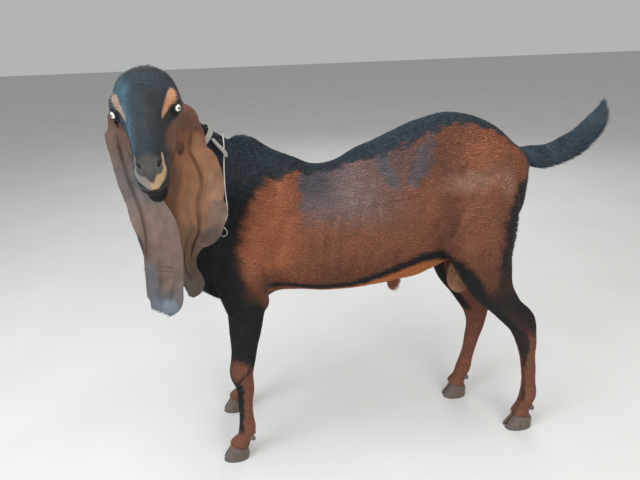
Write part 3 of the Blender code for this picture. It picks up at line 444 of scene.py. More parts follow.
def nearLine(points, line):
    # distance to a bent line, the share of the way along it, its direction there and the nearest spot
    spans = np.diff(line, axis=0)
    sizes = np.linalg.norm(spans, axis=1)
    before = np.concatenate([[0.0], np.cumsum(sizes)])
    best, along = np.full(len(points), np.inf), np.zeros(len(points))
    way, spot = np.zeros((2, len(points), 3))
    for i, (start, span) in enumerate(zip(line[:-1], spans)):
        share = shareAlong(points, start, span)
        near = start + share[:, None] * span
        far = np.linalg.norm(points - near, axis=1)
        closer = far < best
        best = np.where(closer, far, best)
        along = np.where(closer, before[i] + share * sizes[i], along)
        way[closer] = span / sizes[i]
        spot[closer] = near[closer]
    return best, along / before[-1], way, spot


def shareOfRegions(points):
    # each region's pull on a point falls with the fourth power of distance over half thickness
    pull = {}
    for name, region in regions.items():
        far, _, way, _ = nearLine(points, region["line"])
        pull[name] = (1.0 / np.maximum(far / region["reach"], 0.15) ** 4, way)
    total = sum(weight for weight, _ in pull.values())
    return {name: (weight / total, way) for name, (weight, way) in pull.items()}


def ownerOf(shares):
    return np.argmax(np.stack([shares[name][0] for name in regions]), 0)


def ofRegions(shares, key):
    # a region's value, mixed by the regions' shares
    return sum(share * regions[name][key] for name, (share, _) in shares.items())


def lieOfCoat(normals, shares):
    # the regions' own directions and droops mixed by their shares, laid flat on the surface
    flow = np.zeros_like(normals)
    for name, (share, way) in shares.items():
        flow += share[:, None] * (way - np.array([0.0, 0.0, regions[name]["droop"]]))
    flow -= (flow * normals).sum(1)[:, None] * normals
    return unit(flow)


# Markings, shared by the skin and the coat; every rule works on whole arrays of points. Amounts run from
# 0 to 1, and a colour's three numbers are its shares of red, green and blue light.
palette = {
    "bay": (0.245, 0.088, 0.043), "brightBay": (0.35, 0.118, 0.056), "deepBay": (0.115, 0.042, 0.024),
    "black": (0.009, 0.0095, 0.0115), "skySheenBlueBlack": (0.036, 0.052, 0.066), "tailSkySheen": (0.052, 0.078, 0.098),
    "lilacSheen": (0.205, 0.16, 0.165), "slateTop": (0.056, 0.056, 0.068), "slateWhorlSheen": (0.108, 0.11, 0.126),
    "paleBayAndHighlight": (0.42, 0.24, 0.165), "bellyTan": (0.5, 0.17, 0.056), "darkBrownAndFoldShade": (0.085, 0.034, 0.022),
    "legBrown": (0.235, 0.088, 0.05), "farBrown": (0.235, 0.085, 0.05), "faceGrey": (0.034, 0.046, 0.058),
    "skySheenGrey": (0.072, 0.142, 0.182), "shadedHalfGrey": (0.03, 0.03, 0.03), "browTan": (0.6, 0.29, 0.14),
    "browPale": (0.42, 0.29, 0.215), "cheek": (0.19, 0.088, 0.052), "lipTan": (0.56, 0.39, 0.215),
    "lipPale": (0.43, 0.37, 0.32), "noseGrey": (0.105, 0.092, 0.08), "mouthPink": (0.3, 0.14, 0.115),
    "bagTan": (0.48, 0.245, 0.135),
}
palette = {name: np.array(tone) for name, tone in palette.items()}

marks = {
    # along the back, and the half width of the dark stripe there
    "stripe": (
        (0.1, 0.16, 0.2, 0.25, 0.3, 0.36, 0.42, 0.5, 0.56, 0.62, 0.68, 0.74, 0.8),
        (0.105, 0.085, 0.062, 0.046, 0.036, 0.044, 0.066, 0.068, 0.06, 0.05, 0.044, 0.034, 0.02)),
    # height, and how far back the black of neck and chest reaches there
    "chest": ((0.44, 0.53, 0.583, 0.631, 0.681, 0.73, 0.78, 0.822, 0.855, 0.9),
              (0.17, 0.125, 0.096, 0.08, 0.082, 0.094, 0.112, 0.132, 0.17, 0.25)),
    # the dark line low on the flank and down the front of the thigh
    "flankLine": np.array([
        (0.15, 0.56, 0.01), (0.268, 0.556, 0.012), (0.358, 0.56, 0.0155), (0.434, 0.592, 0.014),
        (0.496, 0.615, 0.014), (0.541, 0.63, 0.016), (0.593, 0.622, 0.017), (0.632, 0.603, 0.016),
        (0.662, 0.572, 0.017), (0.698, 0.525, 0.018), (0.735, 0.466, 0.02), (0.79, 0.405, 0.02),
    ]),
    # height, and how far back the black of the thigh's rear edge begins there
    "thighRear": ((0.48, 0.535, 0.574, 0.623, 0.669, 0.708, 0.744, 0.778, 0.81, 0.83),
                  (0.7, 0.736, 0.741, 0.737, 0.738, 0.741, 0.751, 0.768, 0.8, 0.84)),
    # slate lobes on the loin, a painted sheen where the hair turns in whorls: along, height, half width
    "lobes": ([(0.432, 0.888, 0.014), (0.44, 0.86, 0.017), (0.464, 0.82, 0.01)],
              [(0.556, 0.925, 0.01), (0.538, 0.882, 0.021), (0.506, 0.832, 0.016)]),
    # spots on the side: colour, strength, along, height, reach of both, softness. First darker tones round
    # the lobes, then a brighter rump, pale spots over the hip (painted highlights) and below the tail,
    # painted shade in the flank fold, and a darker elbow
    "spots": [
        ("darkBrownAndFoldShade", 0.55, 0.58, 0.885, 0.036, 0.045, 0.6), ("deepBay", 0.4, 0.59, 0.845, 0.06, 0.06, 0.8),
        ("brightBay", 0.5, 0.7, 0.89, 0.085, 0.045, 0.7), ("paleBayAndHighlight", 0.62, 0.642, 0.822, 0.05, 0.024, 0.8),
        ("paleBayAndHighlight", 0.4, 0.7, 0.838, 0.03, 0.022, 0.8), ("paleBayAndHighlight", 0.55, 0.748, 0.815, 0.022, 0.034, 0.7),
        ("darkBrownAndFoldShade", 0.5, 0.6, 0.675, 0.03, 0.07, 0.8), ("deepBay", 0.75, 0.155, 0.572, 0.055, 0.04, 0.7),
    ],
}


def paint(colour, *layers):
    # palette colours laid one over the other, each by its own amounts
    for name, amount in layers:
        colour = colour + (palette[name] - colour) * amount[:, None]
    return colour


def plain(name, points):
    return np.tile(palette[name], (len(points), 1))


def blob(points, centre, radii, soft):
    # 1 inside an oval patch, 0 outside, soft at its edge; a radius of None is not measured
    gap = sum(((points[:, i] - centre[i]) / radii[i]) ** 2 for i in range(3) if radii[i])
    return fall(1.0 - soft, 1.0 + soft, np.sqrt(gap))


def bandAlong(points, line, soft):
    # 1 near a bent line, 0 away from it; its rows hold a place of two or three numbers and a half width
    best = np.full(len(points), -np.inf)
    rows = np.array(line)
    for (*start, wide), (*end, endWide) in zip(rows[:-1], rows[1:]):
        start = np.array(start)
        span = end - start
        share = shareAlong(points, start, span)
        far = np.linalg.norm(points - (start + share[:, None] * span), axis=1)
        best = np.maximum(best, wide + (endWide - wide) * share - far)
    return step(-soft, soft, best)


def acrossLeg(points, rows):
    # -1 at the front edge of a leg, 1 at its rear edge
    table = np.array(rows)[::-1]
    middle, ahead, behind = (np.interp(points[:, 2], table[:, 2], table[:, i]) for i in (0, 6, 7))
    gap = points[:, 0] - middle
    return np.where(gap < 0.0, gap / ahead, gap / behind)


def bodyColour(points):
    x, y, z = points.T
    side = np.abs(y)
    ragged = 0.006 * speckle(points, 0.028, 1) + 0.004 * speckle(points, 0.011, 2)
    # a lilac-grey mantle behind the shoulder, a painted sheen of the sky on the glossy hair, darkest below
    # the back's stripe at its front
    mantle = step(0.226, 0.246, x + ragged) * fall(0.33, 0.54, x) * step(0.71, 0.8, z + 0.1 * (x - 0.3))
    slate = fall(0.285, 0.35, x) * mantle * (0.45 + 0.55 * step(0.77, 0.83, z))
    flat = np.stack([x + ragged, z], 1)
    lobes = [bandAlong(flat, line, soft) for line, soft in zip(marks["lobes"], (0.005, 0.006))]
    streaks = 0.85 + 0.15 * speckle(points * (1.0, 1.0, 3.0), 0.02, 14)
    colour = paint(
        plain("bay", points),
        ("brightBay", 0.9 * fall(0.19, 0.26, x) * step(0.5, 0.62, z)),
        # darker low on the flank: painted shade under the body
        ("deepBay", 0.5 * fall(0.57, 0.7, z) * step(0.16, 0.3, x)),
        ("deepBay", 0.4 * np.clip(speckle(points, 0.16, 3), 0, 1) * step(0.2, 0.3, x)),
        # the mantle's lilac-grey painted sheen
        ("lilacSheen", 0.86 * mantle * (0.9 + 0.1 * speckle(points, 0.02, 4))),
        ("slateTop", 0.8 * slate),
        ("slateTop", 0.5 * blob(points, (0.49, 0, 0.88), (0.07, None, 0.04), 0.5)),
        # the slate lobes: painted sheen on the whorls
        ("slateWhorlSheen", 0.88 * np.maximum(*lobes) * streaks))
    for name, amount, along, height, reach, high, soft in marks["spots"]:
        colour = paint(colour, (name, amount * blob(points, (along, 0, height), (reach, None, high), soft)))
    # belly, and the dark line above it
    line = marks["flankLine"]
    above = z - np.interp(x, line[:, 0], line[:, 1])
    under = fall(-0.004, 0.006, above) * step(0.27, 0.33, x) * fall(0.64, 0.68, x)
    # the black: that line, neck and chest, the stripe along the back, the underside between the
    # forelegs, and the rear edge of the thigh
    rear = step(-0.01, 0.014, x + ragged - np.interp(z, *marks["thighRear"])) * step(0.4, 0.48, z)
    dark = np.max([
        bandAlong(flat, line, 0.008) * step(0.06, 0.085, side),
        fall(-0.018, 0.018, x - np.interp(z, *marks["chest"]) - 1.1 * ragged),
        fall(-0.01, 0.01, side - np.interp(x, *marks["stripe"]) - 1.3 * ragged) * step(0.74, 0.8, z),
        fall(0.2, 0.3, x) * fall(0.5, 0.53, z) * fall(0.05, 0.08, side),
        0.95 * (rear * fall(0.79, 0.83, z)),
    ], 0)
    # last, a bluish painted sheen (a painted reflection of the sky) over the black high on the back and neck
    return paint(colour, ("bellyTan", under), ("black", dark),
                 ("skySheenBlueBlack", 0.8 * dark * step(0.78, 0.9, z) * step(-0.02, 0.1, x)))


def foreLegColour(points, rows):
    _, y, z = points.T
    across = acrossLeg(points, rows)
    side = np.sign(rows[0][1])
    ragged = 0.12 * speckle(points, 0.02, 5)
    outer = step(-0.004, 0.01, (y - side * 0.104) * side)
    elbow = blob(points, (0.14, 0, 0.572), (0.05, None, 0.034), 0.45) * step(0.1, 0.108, y * side)
    # brown behind a black front edge, up to a dark line that slants over the knee
    edge = np.interp(z, (0.14, 0.22), (-0.3, -0.07))
    slant = z - 0.303 - 0.035 * across
    knee = blob(points, (0.056, 0, 0.324), (0.028, None, 0.038), 0.4) * outer * step(0.001, 0.009, slant)
    return paint(
        plain("black", points), ("deepBay", 0.95 * elbow),
        ("legBrown", step(-0.15, 0.15, across + ragged - edge) * fall(-0.009, -0.001, slant)),
        ("legBrown", 0.9 * knee), ("legBrown", fall(0.088, 0.118, z)),
        ("farBrown", 0.85 * ((1 - outer) * fall(0.4, 0.47, z) * step(-0.6, -0.1, across))),
        ("black", 0.35 * fall(0.046, 0.058, z)))


def hindLegColour(points, rows):
    _, y, z = points.T
    across = acrossLeg(points, rows)
    side = np.sign(rows[0][1])
    ragged = across + 0.1 * speckle(points, 0.022, 6)
    outer = step(-0.012, 0.006, (y - side * 0.09) * side)
    front = fall(-0.66, -0.42, ragged) * fall(0.56, 0.62, z) * step(0.33, 0.38, z)
    gaskin = fall(0.485, 0.54, z) * step(0.335, 0.4, z + 0.025 * across)
    gaskin = gaskin * (0.72 + 0.16 * step(0.0, 0.6, across))
    edge = np.interp(z, (0.235, 0.26, 0.29, 0.33), (-0.62, -0.4, -0.12, 0.1))
    shin = fall(-0.14, 0.14, ragged - edge) * fall(0.37, 0.41, z)
    # brown inner faces, with a black front edge high up
    inside = (1 - outer) * fall(0.6, 0.66, z) * step(-0.62, -0.4, ragged + 0.8 * (z < 0.345))
    return paint(
        bodyColour(points), ("deepBay", 0.5 * fall(0.5, 0.64, z)), ("legBrown", fall(0.35, 0.4, z)),
        ("black", np.maximum(np.maximum(front, gaskin), 0.9 * shin)), ("farBrown", 0.9 * inside),
        ("legBrown", fall(0.095, 0.125, z) * step(-1.0, -0.6, across)),
        ("black", 0.35 * fall(0.046, 0.058, z)))


face = {
    # the pale rim from beside each nostril round the upper lip: forward, side, crown, half width
    "lipRim": [
        (0.228, 0.0235, 0.013, 0.0028), (0.24, 0.022, 0.003, 0.0062), (0.254, 0.0195, -0.006, 0.0074),
        (0.2625, 0.014, -0.015, 0.0072), (0.269, 0.006, -0.0235, 0.006), (0.2705, 0, -0.0255, 0.0055),
    ],
    # the mark over the left eye, then its paler fellow over the right one
    "browTan": [
        (0.104, 0.053, 0.066, 0.0055), (0.118, 0.0495, 0.062, 0.0085), (0.138, 0.0425, 0.057, 0.008),
        (0.165, 0.033, 0.049, 0.003),
    ],
    "browPale": [
        (0.103, 0.051, 0.066, 0.0045), (0.117, 0.0475, 0.062, 0.0068), (0.137, 0.0415, 0.057, 0.0066),
        (0.163, 0.033, 0.049, 0.0028),
    ],
    # the side of the forehead and nose that carries a bluish painted sheen, a painted reflection of the sky:
    # forward, left, crown, half width
    "skySheenSide": [
        (0.05, -0.04, 0.078, 0.012), (0.11, -0.034, 0.076, 0.016), (0.156, -0.031, 0.056, 0.012),
        (0.1844, -0.025, 0.0471, 0.01), (0.208, -0.0215, 0.037, 0.008), (0.222, -0.0215, 0.025, 0.004),
    ],
    # the nostril's middle, and its own axes that slant with the nose
    "nostril": np.array([0.25, 0.016, 0.003]),
    "nostrilAxes": np.array([(0.72, 0, -0.69), (0, 1, 0), (0.69, 0, 0.72)]),
    # the nostril openings, painted black as painted shade inside them: forward, side, crown, half width
    "nostrilShadeSlit": [(0.242, 0.0205, 0.01, 0.0024), (0.249, 0.016, 0.004, 0.0036), (0.259, 0.009, -0.001, 0.0016)],
    # where the lips meet: forward, crown
    "mouth": ((0.13, 0.18, 0.205, 0.24, 0.258, 0.266, 0.275),
              (-0.066, -0.056, -0.048, -0.038, -0.0345, -0.0335, -0.0335)),
}

eyeForm = {
    # on the head: the ball's middle and radius, and where it looks
    "place": np.array([0.116, 0.0525, 0.039]), "radius": 0.0125, "gaze": np.array([0.6, 0.77, 0.2]),
    # half length of the opening and its height above and below; half sizes of iris and pupil
    "length": 0.0092, "upper": 0.0068, "lower": 0.006, "iris": (0.007, 0.007), "pupil": (0.0038, 0.0018),
}


def headColour(points):
    place = toHead(points)
    forward, left, crown = place.T
    side, mirror = np.abs(left), mirrored(place)
    ragged = 0.002 * speckle(points, 0.01, 7)
    uneven = np.clip(0.85 + 0.25 * speckle(points, 0.024, 33) + 0.12 * speckle(points, 0.009, 34), 0.3, 1.0)
    cheek = step(0.027, 0.038, side + ragged) * fall(0.018, 0.03, crown + ragged)
    cheek *= step(0.045, 0.075, forward) * fall(0.215, 0.238, forward)
    pad = step(0.236, 0.25, forward) * fall(0.014, 0.022, side) * step(-0.026, -0.018, crown)
    rim = bandAlong(mirror, face["lipRim"], 0.0016)
    eyeGap = np.linalg.norm(mirror - eyeForm["place"], axis=1) - eyeForm["radius"]
    meet = crown - np.interp(forward, *face["mouth"])
    chin = fall(-0.003, -0.0005, meet) * step(0.16, 0.2, forward)
    return paint(
        # a bluish painted sheen (a painted reflection of the sky) down one side of forehead and nose
        plain("faceGrey", points), ("skySheenGrey", uneven * bandAlong(place, face["skySheenSide"], 0.011)),
        # painted shade over the other half of the face, from the eyes forward
        ("shadedHalfGrey", 0.8 * (step(0.002, 0.014, left + ragged) * step(0.09, 0.16, forward))),
        ("cheek", 0.9 * cheek), ("black", 0.6 * cheek * fall(-0.085, -0.02, crown)),
        ("black", 0.6 * fall(0.02, 0.06, forward) * step(0.02, 0.05, crown)), ("noseGrey", 0.85 * pad),
        ("browTan", bandAlong(mirror, face["browTan"], 0.0022) * (left > 0)),
        ("browPale", bandAlong(mirror, face["browPale"], 0.0022) * (left <= 0)),
        ("lipTan", 0.95 * rim * (left > -0.004)), ("lipPale", 0.75 * rim * (left <= -0.004)),
        ("black", 0.9 * fall(0.0035, 0.007, eyeGap)), ("black", 0.95 * chin),
        ("mouthPink", 0.55 * step(0.235, 0.25, forward) * fall(0.0008, 0.0022, np.abs(meet + 0.0008))),
        # painted shade in the nostril openings
        ("black", bandAlong(mirror, face["nostrilShadeSlit"], 0.0012)))


def tailColour(points):
    # black under a blue-grey painted sheen (a painted reflection of the sky) almost all over, bay at the root
    return paint(plain("black", points),
                 ("tailSkySheen", 0.85 * np.clip(0.8 + 0.2 * speckle(points, 0.05, 8), 0, 1)),
                 ("bay", 0.8 * fall(0.78, 0.8, points[:, 0])))


def coatColour(points, shares):
    # each region paints its own points, mixed by the regions' shares sharpened a little
    painters = {"trunk": bodyColour, "neck": bodyColour, "tail": tailColour, "head": headColour}
    weights = {name: shares[name][0] ** 3 for name in regions}
    total = sum(weights.values())
    colour = np.zeros_like(points)
    for name, weight in weights.items():
        use = weight / total
        some = np.flatnonzero(use > 0.004)
        if not len(some):
            continue
        if name in painters:
            painted = painters[name](points[some])
        else:
            painted = (foreLegColour if name.startswith("fore") else hindLegColour)(points[some], legs[name])
        colour[some] += use[some, None] * painted
    colour = paint(colour, ("bagTan", 0.9 * blob(points, (0.688, 0, 0.5), (0.045, 0.05, 0.075), 0.2)),
                   ("legBrown", 0.9 * blob(points, (0.496, 0, 0.502), (0.026, 0.022, 0.04), 0.2)))
    return colour * (1.0 + 0.1 * speckle(points, 0.035, 9))[:, None]


# Shader groups and materials
def settle(thing, settings):
    for name, value in settings.items():
        setattr(thing, name, value)


def feed(tree, node, inputs):
    # a socket is linked to its input, a value is set there; colours get their alpha here
    for slot, value in inputs.items():
        socket = node.inputs[slot]
        if isinstance(value, bpy.types.NodeSocket):
            tree.links.new(value, socket)
        else:
            socket.default_value = (*value, 1.0) if socket.type == "RGBA" else value


def addNode(tree, kind, inputs, take=0, **settings):
    # one output of a new node by its number or name, or all of them when take is None
    node = tree.nodes.new("ShaderNode" + kind)
    settle(node, settings)
    feed(tree, node, inputs)
    return node.outputs if take is None else node.outputs[take]


def blend(tree, share, first, second):
    return addNode(tree, "Mix", {0: share, 6: first, 7: second}, 2, data_type="RGBA")


def newGroup(name, inputs, outputs):
    group = bpy.data.node_groups.new(name, "ShaderNodeTree")
    for label, kind, value in inputs:
        socket = group.interface.new_socket(label, in_out="INPUT", socket_type="NodeSocket" + kind)
        if value is not None:
            socket.default_value = value
    for label, kind in outputs:
        group.interface.new_socket(label, in_out="OUTPUT", socket_type="NodeSocket" + kind)
    return group, group.nodes.new("NodeGroupInput").outputs, group.nodes.new("NodeGroupOutput")


def buildFurGroup():
    # streaks across the lie of the hair, and a slow unevenness; for the skin and every tuft
    group, given, out = newGroup("furDetail", [
        ("Colour", "Color", (0.5, 0.5, 0.5, 1.0)), ("Place", "Vector", None),
        ("Fineness", "Float", 900.0), ("Contrast", "Float", 0.25),
    ], [("Colour", "Color"), ("Rough", "Float"), ("Height", "Float")])
    streak = addNode(group, "TexNoise", {"Vector": given["Place"], "Scale": given["Fineness"], "Detail": 3.0})
    slow = addNode(group, "TexNoise", {"Scale": 38.0, "Detail": 4.0})
    both = addNode(group, "Math", {0: streak, 1: slow}, operation="ADD")
    centred = addNode(group, "Math", {0: both, 1: 1.0}, operation="SUBTRACT")
    scaled = addNode(group, "Math", {0: centred, 1: given["Contrast"], 2: 1.0}, operation="MULTIPLY_ADD")
    tint = addNode(group, "VectorMath", {0: given["Colour"], "Scale": scaled}, operation="SCALE")
    rough = addNode(group, "MapRange", {"Value": slow, "To Min": 0.48, "To Max": 0.68})
    feed(group, out, {"Colour": tint, "Rough": rough, "Height": streak})
    return group


def buildGrainGroup():
    # mottled colour and a fine grain, for horn, metal, cord and webbing
    group, given, out = newGroup("fineGrain", [
        ("Light", "Color", (0.5, 0.5, 0.5, 1.0)), ("Dark", "Color", (0.1, 0.1, 0.1, 1.0)),
        ("Place", "Vector", None), ("Scale", "Float", 60.0),
    ], [("Colour", "Color"), ("Grain", "Float")])
    noise = addNode(group, "TexNoise", {"Vector": given["Place"], "Scale": given["Scale"], "Detail": 6.0})
    feed(group, out, {"Colour": blend(group, noise, given["Dark"], given["Light"]), "Grain": noise})
    return group


furDetail = buildFurGroup()
fineGrain = buildGrainGroup()


def newMaterial(name, viewColour, uv=None):
    # with its tree, its surface, and the place in a map of the piece or else on the object
    made = bpy.data.materials.new(name)
    made.use_nodes = True
    made.diffuse_color = (*viewColour, 1.0)
    tree = made.node_tree
    place = addNode(tree, "UVMap", {}, uv_map=uv) if uv else addNode(tree, "TexCoord", {}, "Object")
    return made, tree, tree.nodes["Principled BSDF"], place


def addBump(tree, surface, height, distance, strength):
    bump = addNode(tree, "Bump", {"Height": height, "Distance": distance, "Strength": strength})
    feed(tree, surface, {"Normal": bump})


def coatMaterial(name, uv, fineness, contrast, bumpDepth):
    # the piece's own colours, broken up by streaks along its map
    made, tree, surface, place = newMaterial(name, (0.2, 0.1, 0.06), uv)
    stored = addNode(tree, "Attribute", {}, "Color", attribute_name="coat")
    given = {"Colour": stored, "Place": place, "Fineness": fineness, "Contrast": contrast}
    detail = addNode(tree, "Group", given, None, node_tree=furDetail)
    feed(tree, surface, {"Base Color": detail["Colour"], "Roughness": detail["Rough"],
                         "Specular IOR Level": 0.22, "Sheen Weight": 0.03, "Sheen Roughness": 0.5})
    if bumpDepth:
        addBump(tree, surface, detail["Height"], bumpDepth, 0.8)
    return made


def grainMaterial(name, look):
    # two tones mixed by a grain; bumps from a wave, or from the grain itself when there is none
    made, tree, surface, place = newMaterial(name, look["view"], look.get("uv"))
    given = {"Light": look["light"], "Dark": look["dark"], "Scale": look["scale"], "Place": place}
    if "stretch" in look:
        given["Place"] = addNode(tree, "Mapping", {"Vector": place, "Scale": look["stretch"]})
    grain = addNode(tree, "Group", given, None, node_tree=fineGrain)
    height = grain["Grain"]
    if "wave" in look:
        direction, scale, distortion = look["wave"]
        height = addNode(tree, "TexWave", {"Vector": place, "Scale": scale, "Distortion": distortion}, "Fac",
                         wave_type="BANDS", bands_direction=direction)
    if "bump" in look:
        addBump(tree, surface, height, *look["bump"])
    rough = look["rough"]
    if isinstance(rough, tuple):
        rough = addNode(tree, "MapRange", {"Value": grain["Grain"], "To Min": rough[0], "To Max": rough[1]})
    feed(tree, surface, {"Base Color": grain["Colour"], "Roughness": rough, **look.get("surface", {})})
    return made


# the map that the streaks follow, their fineness there, their contrast, and the depth of the bumps
skinMaterial = coatMaterial("skinCoat", "lie", 1.0, 0.5, 0.0006)
tuftMaterial = coatMaterial("tuftCoat", None, 520.0, 0.32, 0.0)
earMaterial = coatMaterial("earCoat", "lie", 1.0, 0.35, 0.0004)


# The skin
print("skin: joining the body's forms")
# size of the melted mesh's cells, rounds of easing, triangles, how much darker it is than the tufts
# (painted shade beneath the coat), and the streaks of its coat along and around
skinForm = {"voxel": 0.0024, "bodyRounds": 48, "headRounds": 9, "budget": 186000, "tone": 0.72,
            "streaksAlong": 110.0, "streaksAround": 1500.0}


def addModifier(piece, kind, **settings):
    settle(piece.modifiers.new(kind.lower(), kind), settings)


def joinedSkin():
    # the forms melted into one closed surface and eased, the head less than the rest
    verts, faces, count = [], [], 0
    for shape, sides in fleshShapes():
        verts.append(shape)
        faces += [tuple(i + count for i in side) for side in sides]
        count += len(shape)
    skin = makePiece("goat_skin", np.vstack(verts), faces)
    addModifier(skin, "REMESH", mode="VOXEL", voxel_size=skinForm["voxel"])
    bakeModifiers(skin)
    place = toHead(pointsOf(skin))
    far = (place[:, 0] < -0.01) | (np.abs(place[:, 1]) > 0.1) | (np.abs(place[:, 2]) > 0.14)
    skin.vertex_groups.new(name="body").add(np.flatnonzero(far).tolist(), 1.0, "REPLACE")
    for rounds, part in ((skinForm["bodyRounds"], "body"), (skinForm["headRounds"], "")):
        addModifier(skin, "SMOOTH", factor=0.5, iterations=rounds, vertex_group=part)
    bakeModifiers(skin)
    return skin


# raised and hollowed strokes on both sides of the body: start, end, half width, height
relief = [
    (0.155, 0.1, 0.865, 0.078, 0.125, 0.69, 0.02, 0.0035),
    (0.062, 0.105, 0.8, 0.015, 0.11, 0.64, 0.018, -0.005),
    (0.205, 0.13, 0.76, 0.165, 0.125, 0.6, 0.02, -0.005), (0.13, 0.12, 0.7, 0.15, 0.12, 0.6, 0.024, 0.0035),
    (0.158, 0.112, 0.562, 0.162, 0.112, 0.556, 0.02, 0.005),
    (0.555, 0.125, 0.85, 0.54, 0.14, 0.8, 0.036, -0.0085), (0.6, 0.12, 0.74, 0.64, 0.12, 0.61, 0.022, 0.005),
    (0.575, 0.13, 0.72, 0.6, 0.12, 0.64, 0.018, -0.005),
    (0.622, 0.11, 0.862, 0.64, 0.105, 0.868, 0.02, 0.005),
    (0.64, 0.118, 0.85, 0.74, 0.105, 0.8, 0.02, -0.003), (0.8, 0.05, 0.815, 0.806, 0.05, 0.8, 0.018, 0.006),
    (0.77, 0.11, 0.77, 0.775, 0.115, 0.6, 0.014, -0.0035), (0.672, 0.13, 0.63, 0.69, 0.13, 0.6, 0.026, 0.005),
    (0.085, 0.12, 0.52, 0.082, 0.13, 0.44, 0.014, -0.0025), (0.072, 0.03, 0.9, 0.02, 0.05, 0.8, 0.02, -0.003),
    (-0.02, 0.07, 0.86, -0.005, 0.095, 0.7, 0.016, -0.0035),
    (0.01, 0.01, 0.7, 0.02, 0.012, 0.52, 0.014, -0.005),
]
for rib in range(7):
    relief.append((0.262 + 0.036 * rib, 0.135, 0.8, 0.24 + 0.036 * rib, 0.15, 0.61, 0.0085, 0.0016))

# the same on the head, in its own axes
headRelief = [
    (0.082, 0.05, 0.064, 0.128, 0.053, 0.058, 0.0085, 0.0026),
    (0.13, 0.055, 0.02, 0.178, 0.04, -0.014, 0.009, 0.0028),
    (0.134, 0.052, 0.03, 0.17, 0.04, 0.01, 0.006, -0.0022),
    (0.06, 0.062, -0.01, 0.112, 0.056, -0.08, 0.01, 0.0026),
    (0.2, 0.031, -0.01, 0.224, 0.028, 0.006, 0.007, -0.0022),
    (0.232, 0.023, 0.01, 0.246, 0.019, 0.012, 0.005, 0.0014),
    (0.246, 0.025, -0.008, 0.264, 0.016, -0.018, 0.0055, 0.0016),
    (0.259, 0, 0, 0.269, 0, -0.026, 0.002, -0.0018), (0.128, 0, 0.084, 0.139, 0.017, 0.078, 0.0022, -0.0014),
    (0.11, 0, 0.089, 0.117, 0.024, 0.084, 0.002, -0.001),
    (0.16, 0.02, 0.064, 0.228, 0.018, 0.029, 0.0075, 0.002),
    (0.165, 0, 0.07, 0.236, 0, 0.02, 0.0075, -0.0012),
    (0.158, 0.036, 0.04, 0.205, 0.029, 0.02, 0.006, -0.0016),
]


def strokes(points, table):
    # sum of bell-shaped ridges, height * exp(-gap^2 / half width^2), each around a line between two places
    rise = np.zeros(len(points))
    for row in np.array(table):
        start, span, (wide, high) = row[:3], row[3:6] - row[:3], row[6:]
        near = np.flatnonzero(np.abs(points - (start + span / 2)).max(1) < np.abs(span).max() / 2 + 3 * wide)
        share = shareAlong(points[near], start, span)
        gap = points[near] - (start + share[:, None] * span)
        rise[near] += high * np.exp(-(gap ** 2).sum(1) / wide ** 2)
    return rise


hoof = {
    # the coronet's height ahead and at the heel, how far it lies behind the toe and ahead of the heel
    "front": 0.052, "back": 0.036, "setBack": 0.03, "heelBack": 0.002,
    "wide": 0.0245, "cleft": 0.0015, "levels": 26, "around": 44,
    # the dewclaws: how far off the foot's middle, height, radii, and axes that lean back
    "spurAside": 0.0125, "spurHeight": 0.079, "spurRadii": (0.0078, 0.0072, 0.0125),
    "spurAxes": np.array([(0.86, 0, 0.5), (0, 1, 0), (-0.5, 0, 0.86)]),
    "view": (0.12, 0.1, 0.09), "light": (0.165, 0.118, 0.09), "dark": (0.04, 0.03, 0.025), "scale": 14.0,
    "stretch": (9.0, 9.0, 2.0), "wave": ("Z", 85.0, 1.6), "bump": (0.0005, 0.6), "rough": 0.55,
}
feet = {
    # toe, heel, middle, dewclaw place
    "fore_left": (-0.024, 0.052, -0.104, 0.067), "fore_right": (-0.042, 0.034, 0.104, 0.049),
    "hind_left": (0.846, 0.93, -0.082, 0.919), "hind_right": (0.7, 0.778, 0.082, 0.772),
}


def cutAtCoronet(points):
    # what hangs below the sloping top of the claws is drawn up to it and in towards the foot's middle
    top = hoof["front"] + 0.001
    for toe, heel, middle, _ in feet.values():
        slope = (hoof["back"] - hoof["front"]) / (heel - toe - (hoof["setBack"] + hoof["heelBack"]))
        mid = np.array([(toe + hoof["setBack"] + heel) / 2, middle])
        some = np.flatnonzero((np.abs(points[:, :2] - mid) < (0.075, 0.05)).all(1))
        low = top + slope * (points[some, 0] - toe - hoof["setBack"]) - points[some, 2]
        under = some[low > 0]
        pull = np.clip(low[low > 0] / 0.012, 0.0, 0.92)[:, None]
        points[under, :2] += (mid - points[under, :2]) * pull
        points[under, 2] = top + slope * (points[under, 0] - toe - hoof["setBack"])
    return points


def eyeCentre(side):
    return onHead(*(eyeForm["place"] * (1, side, 1)))


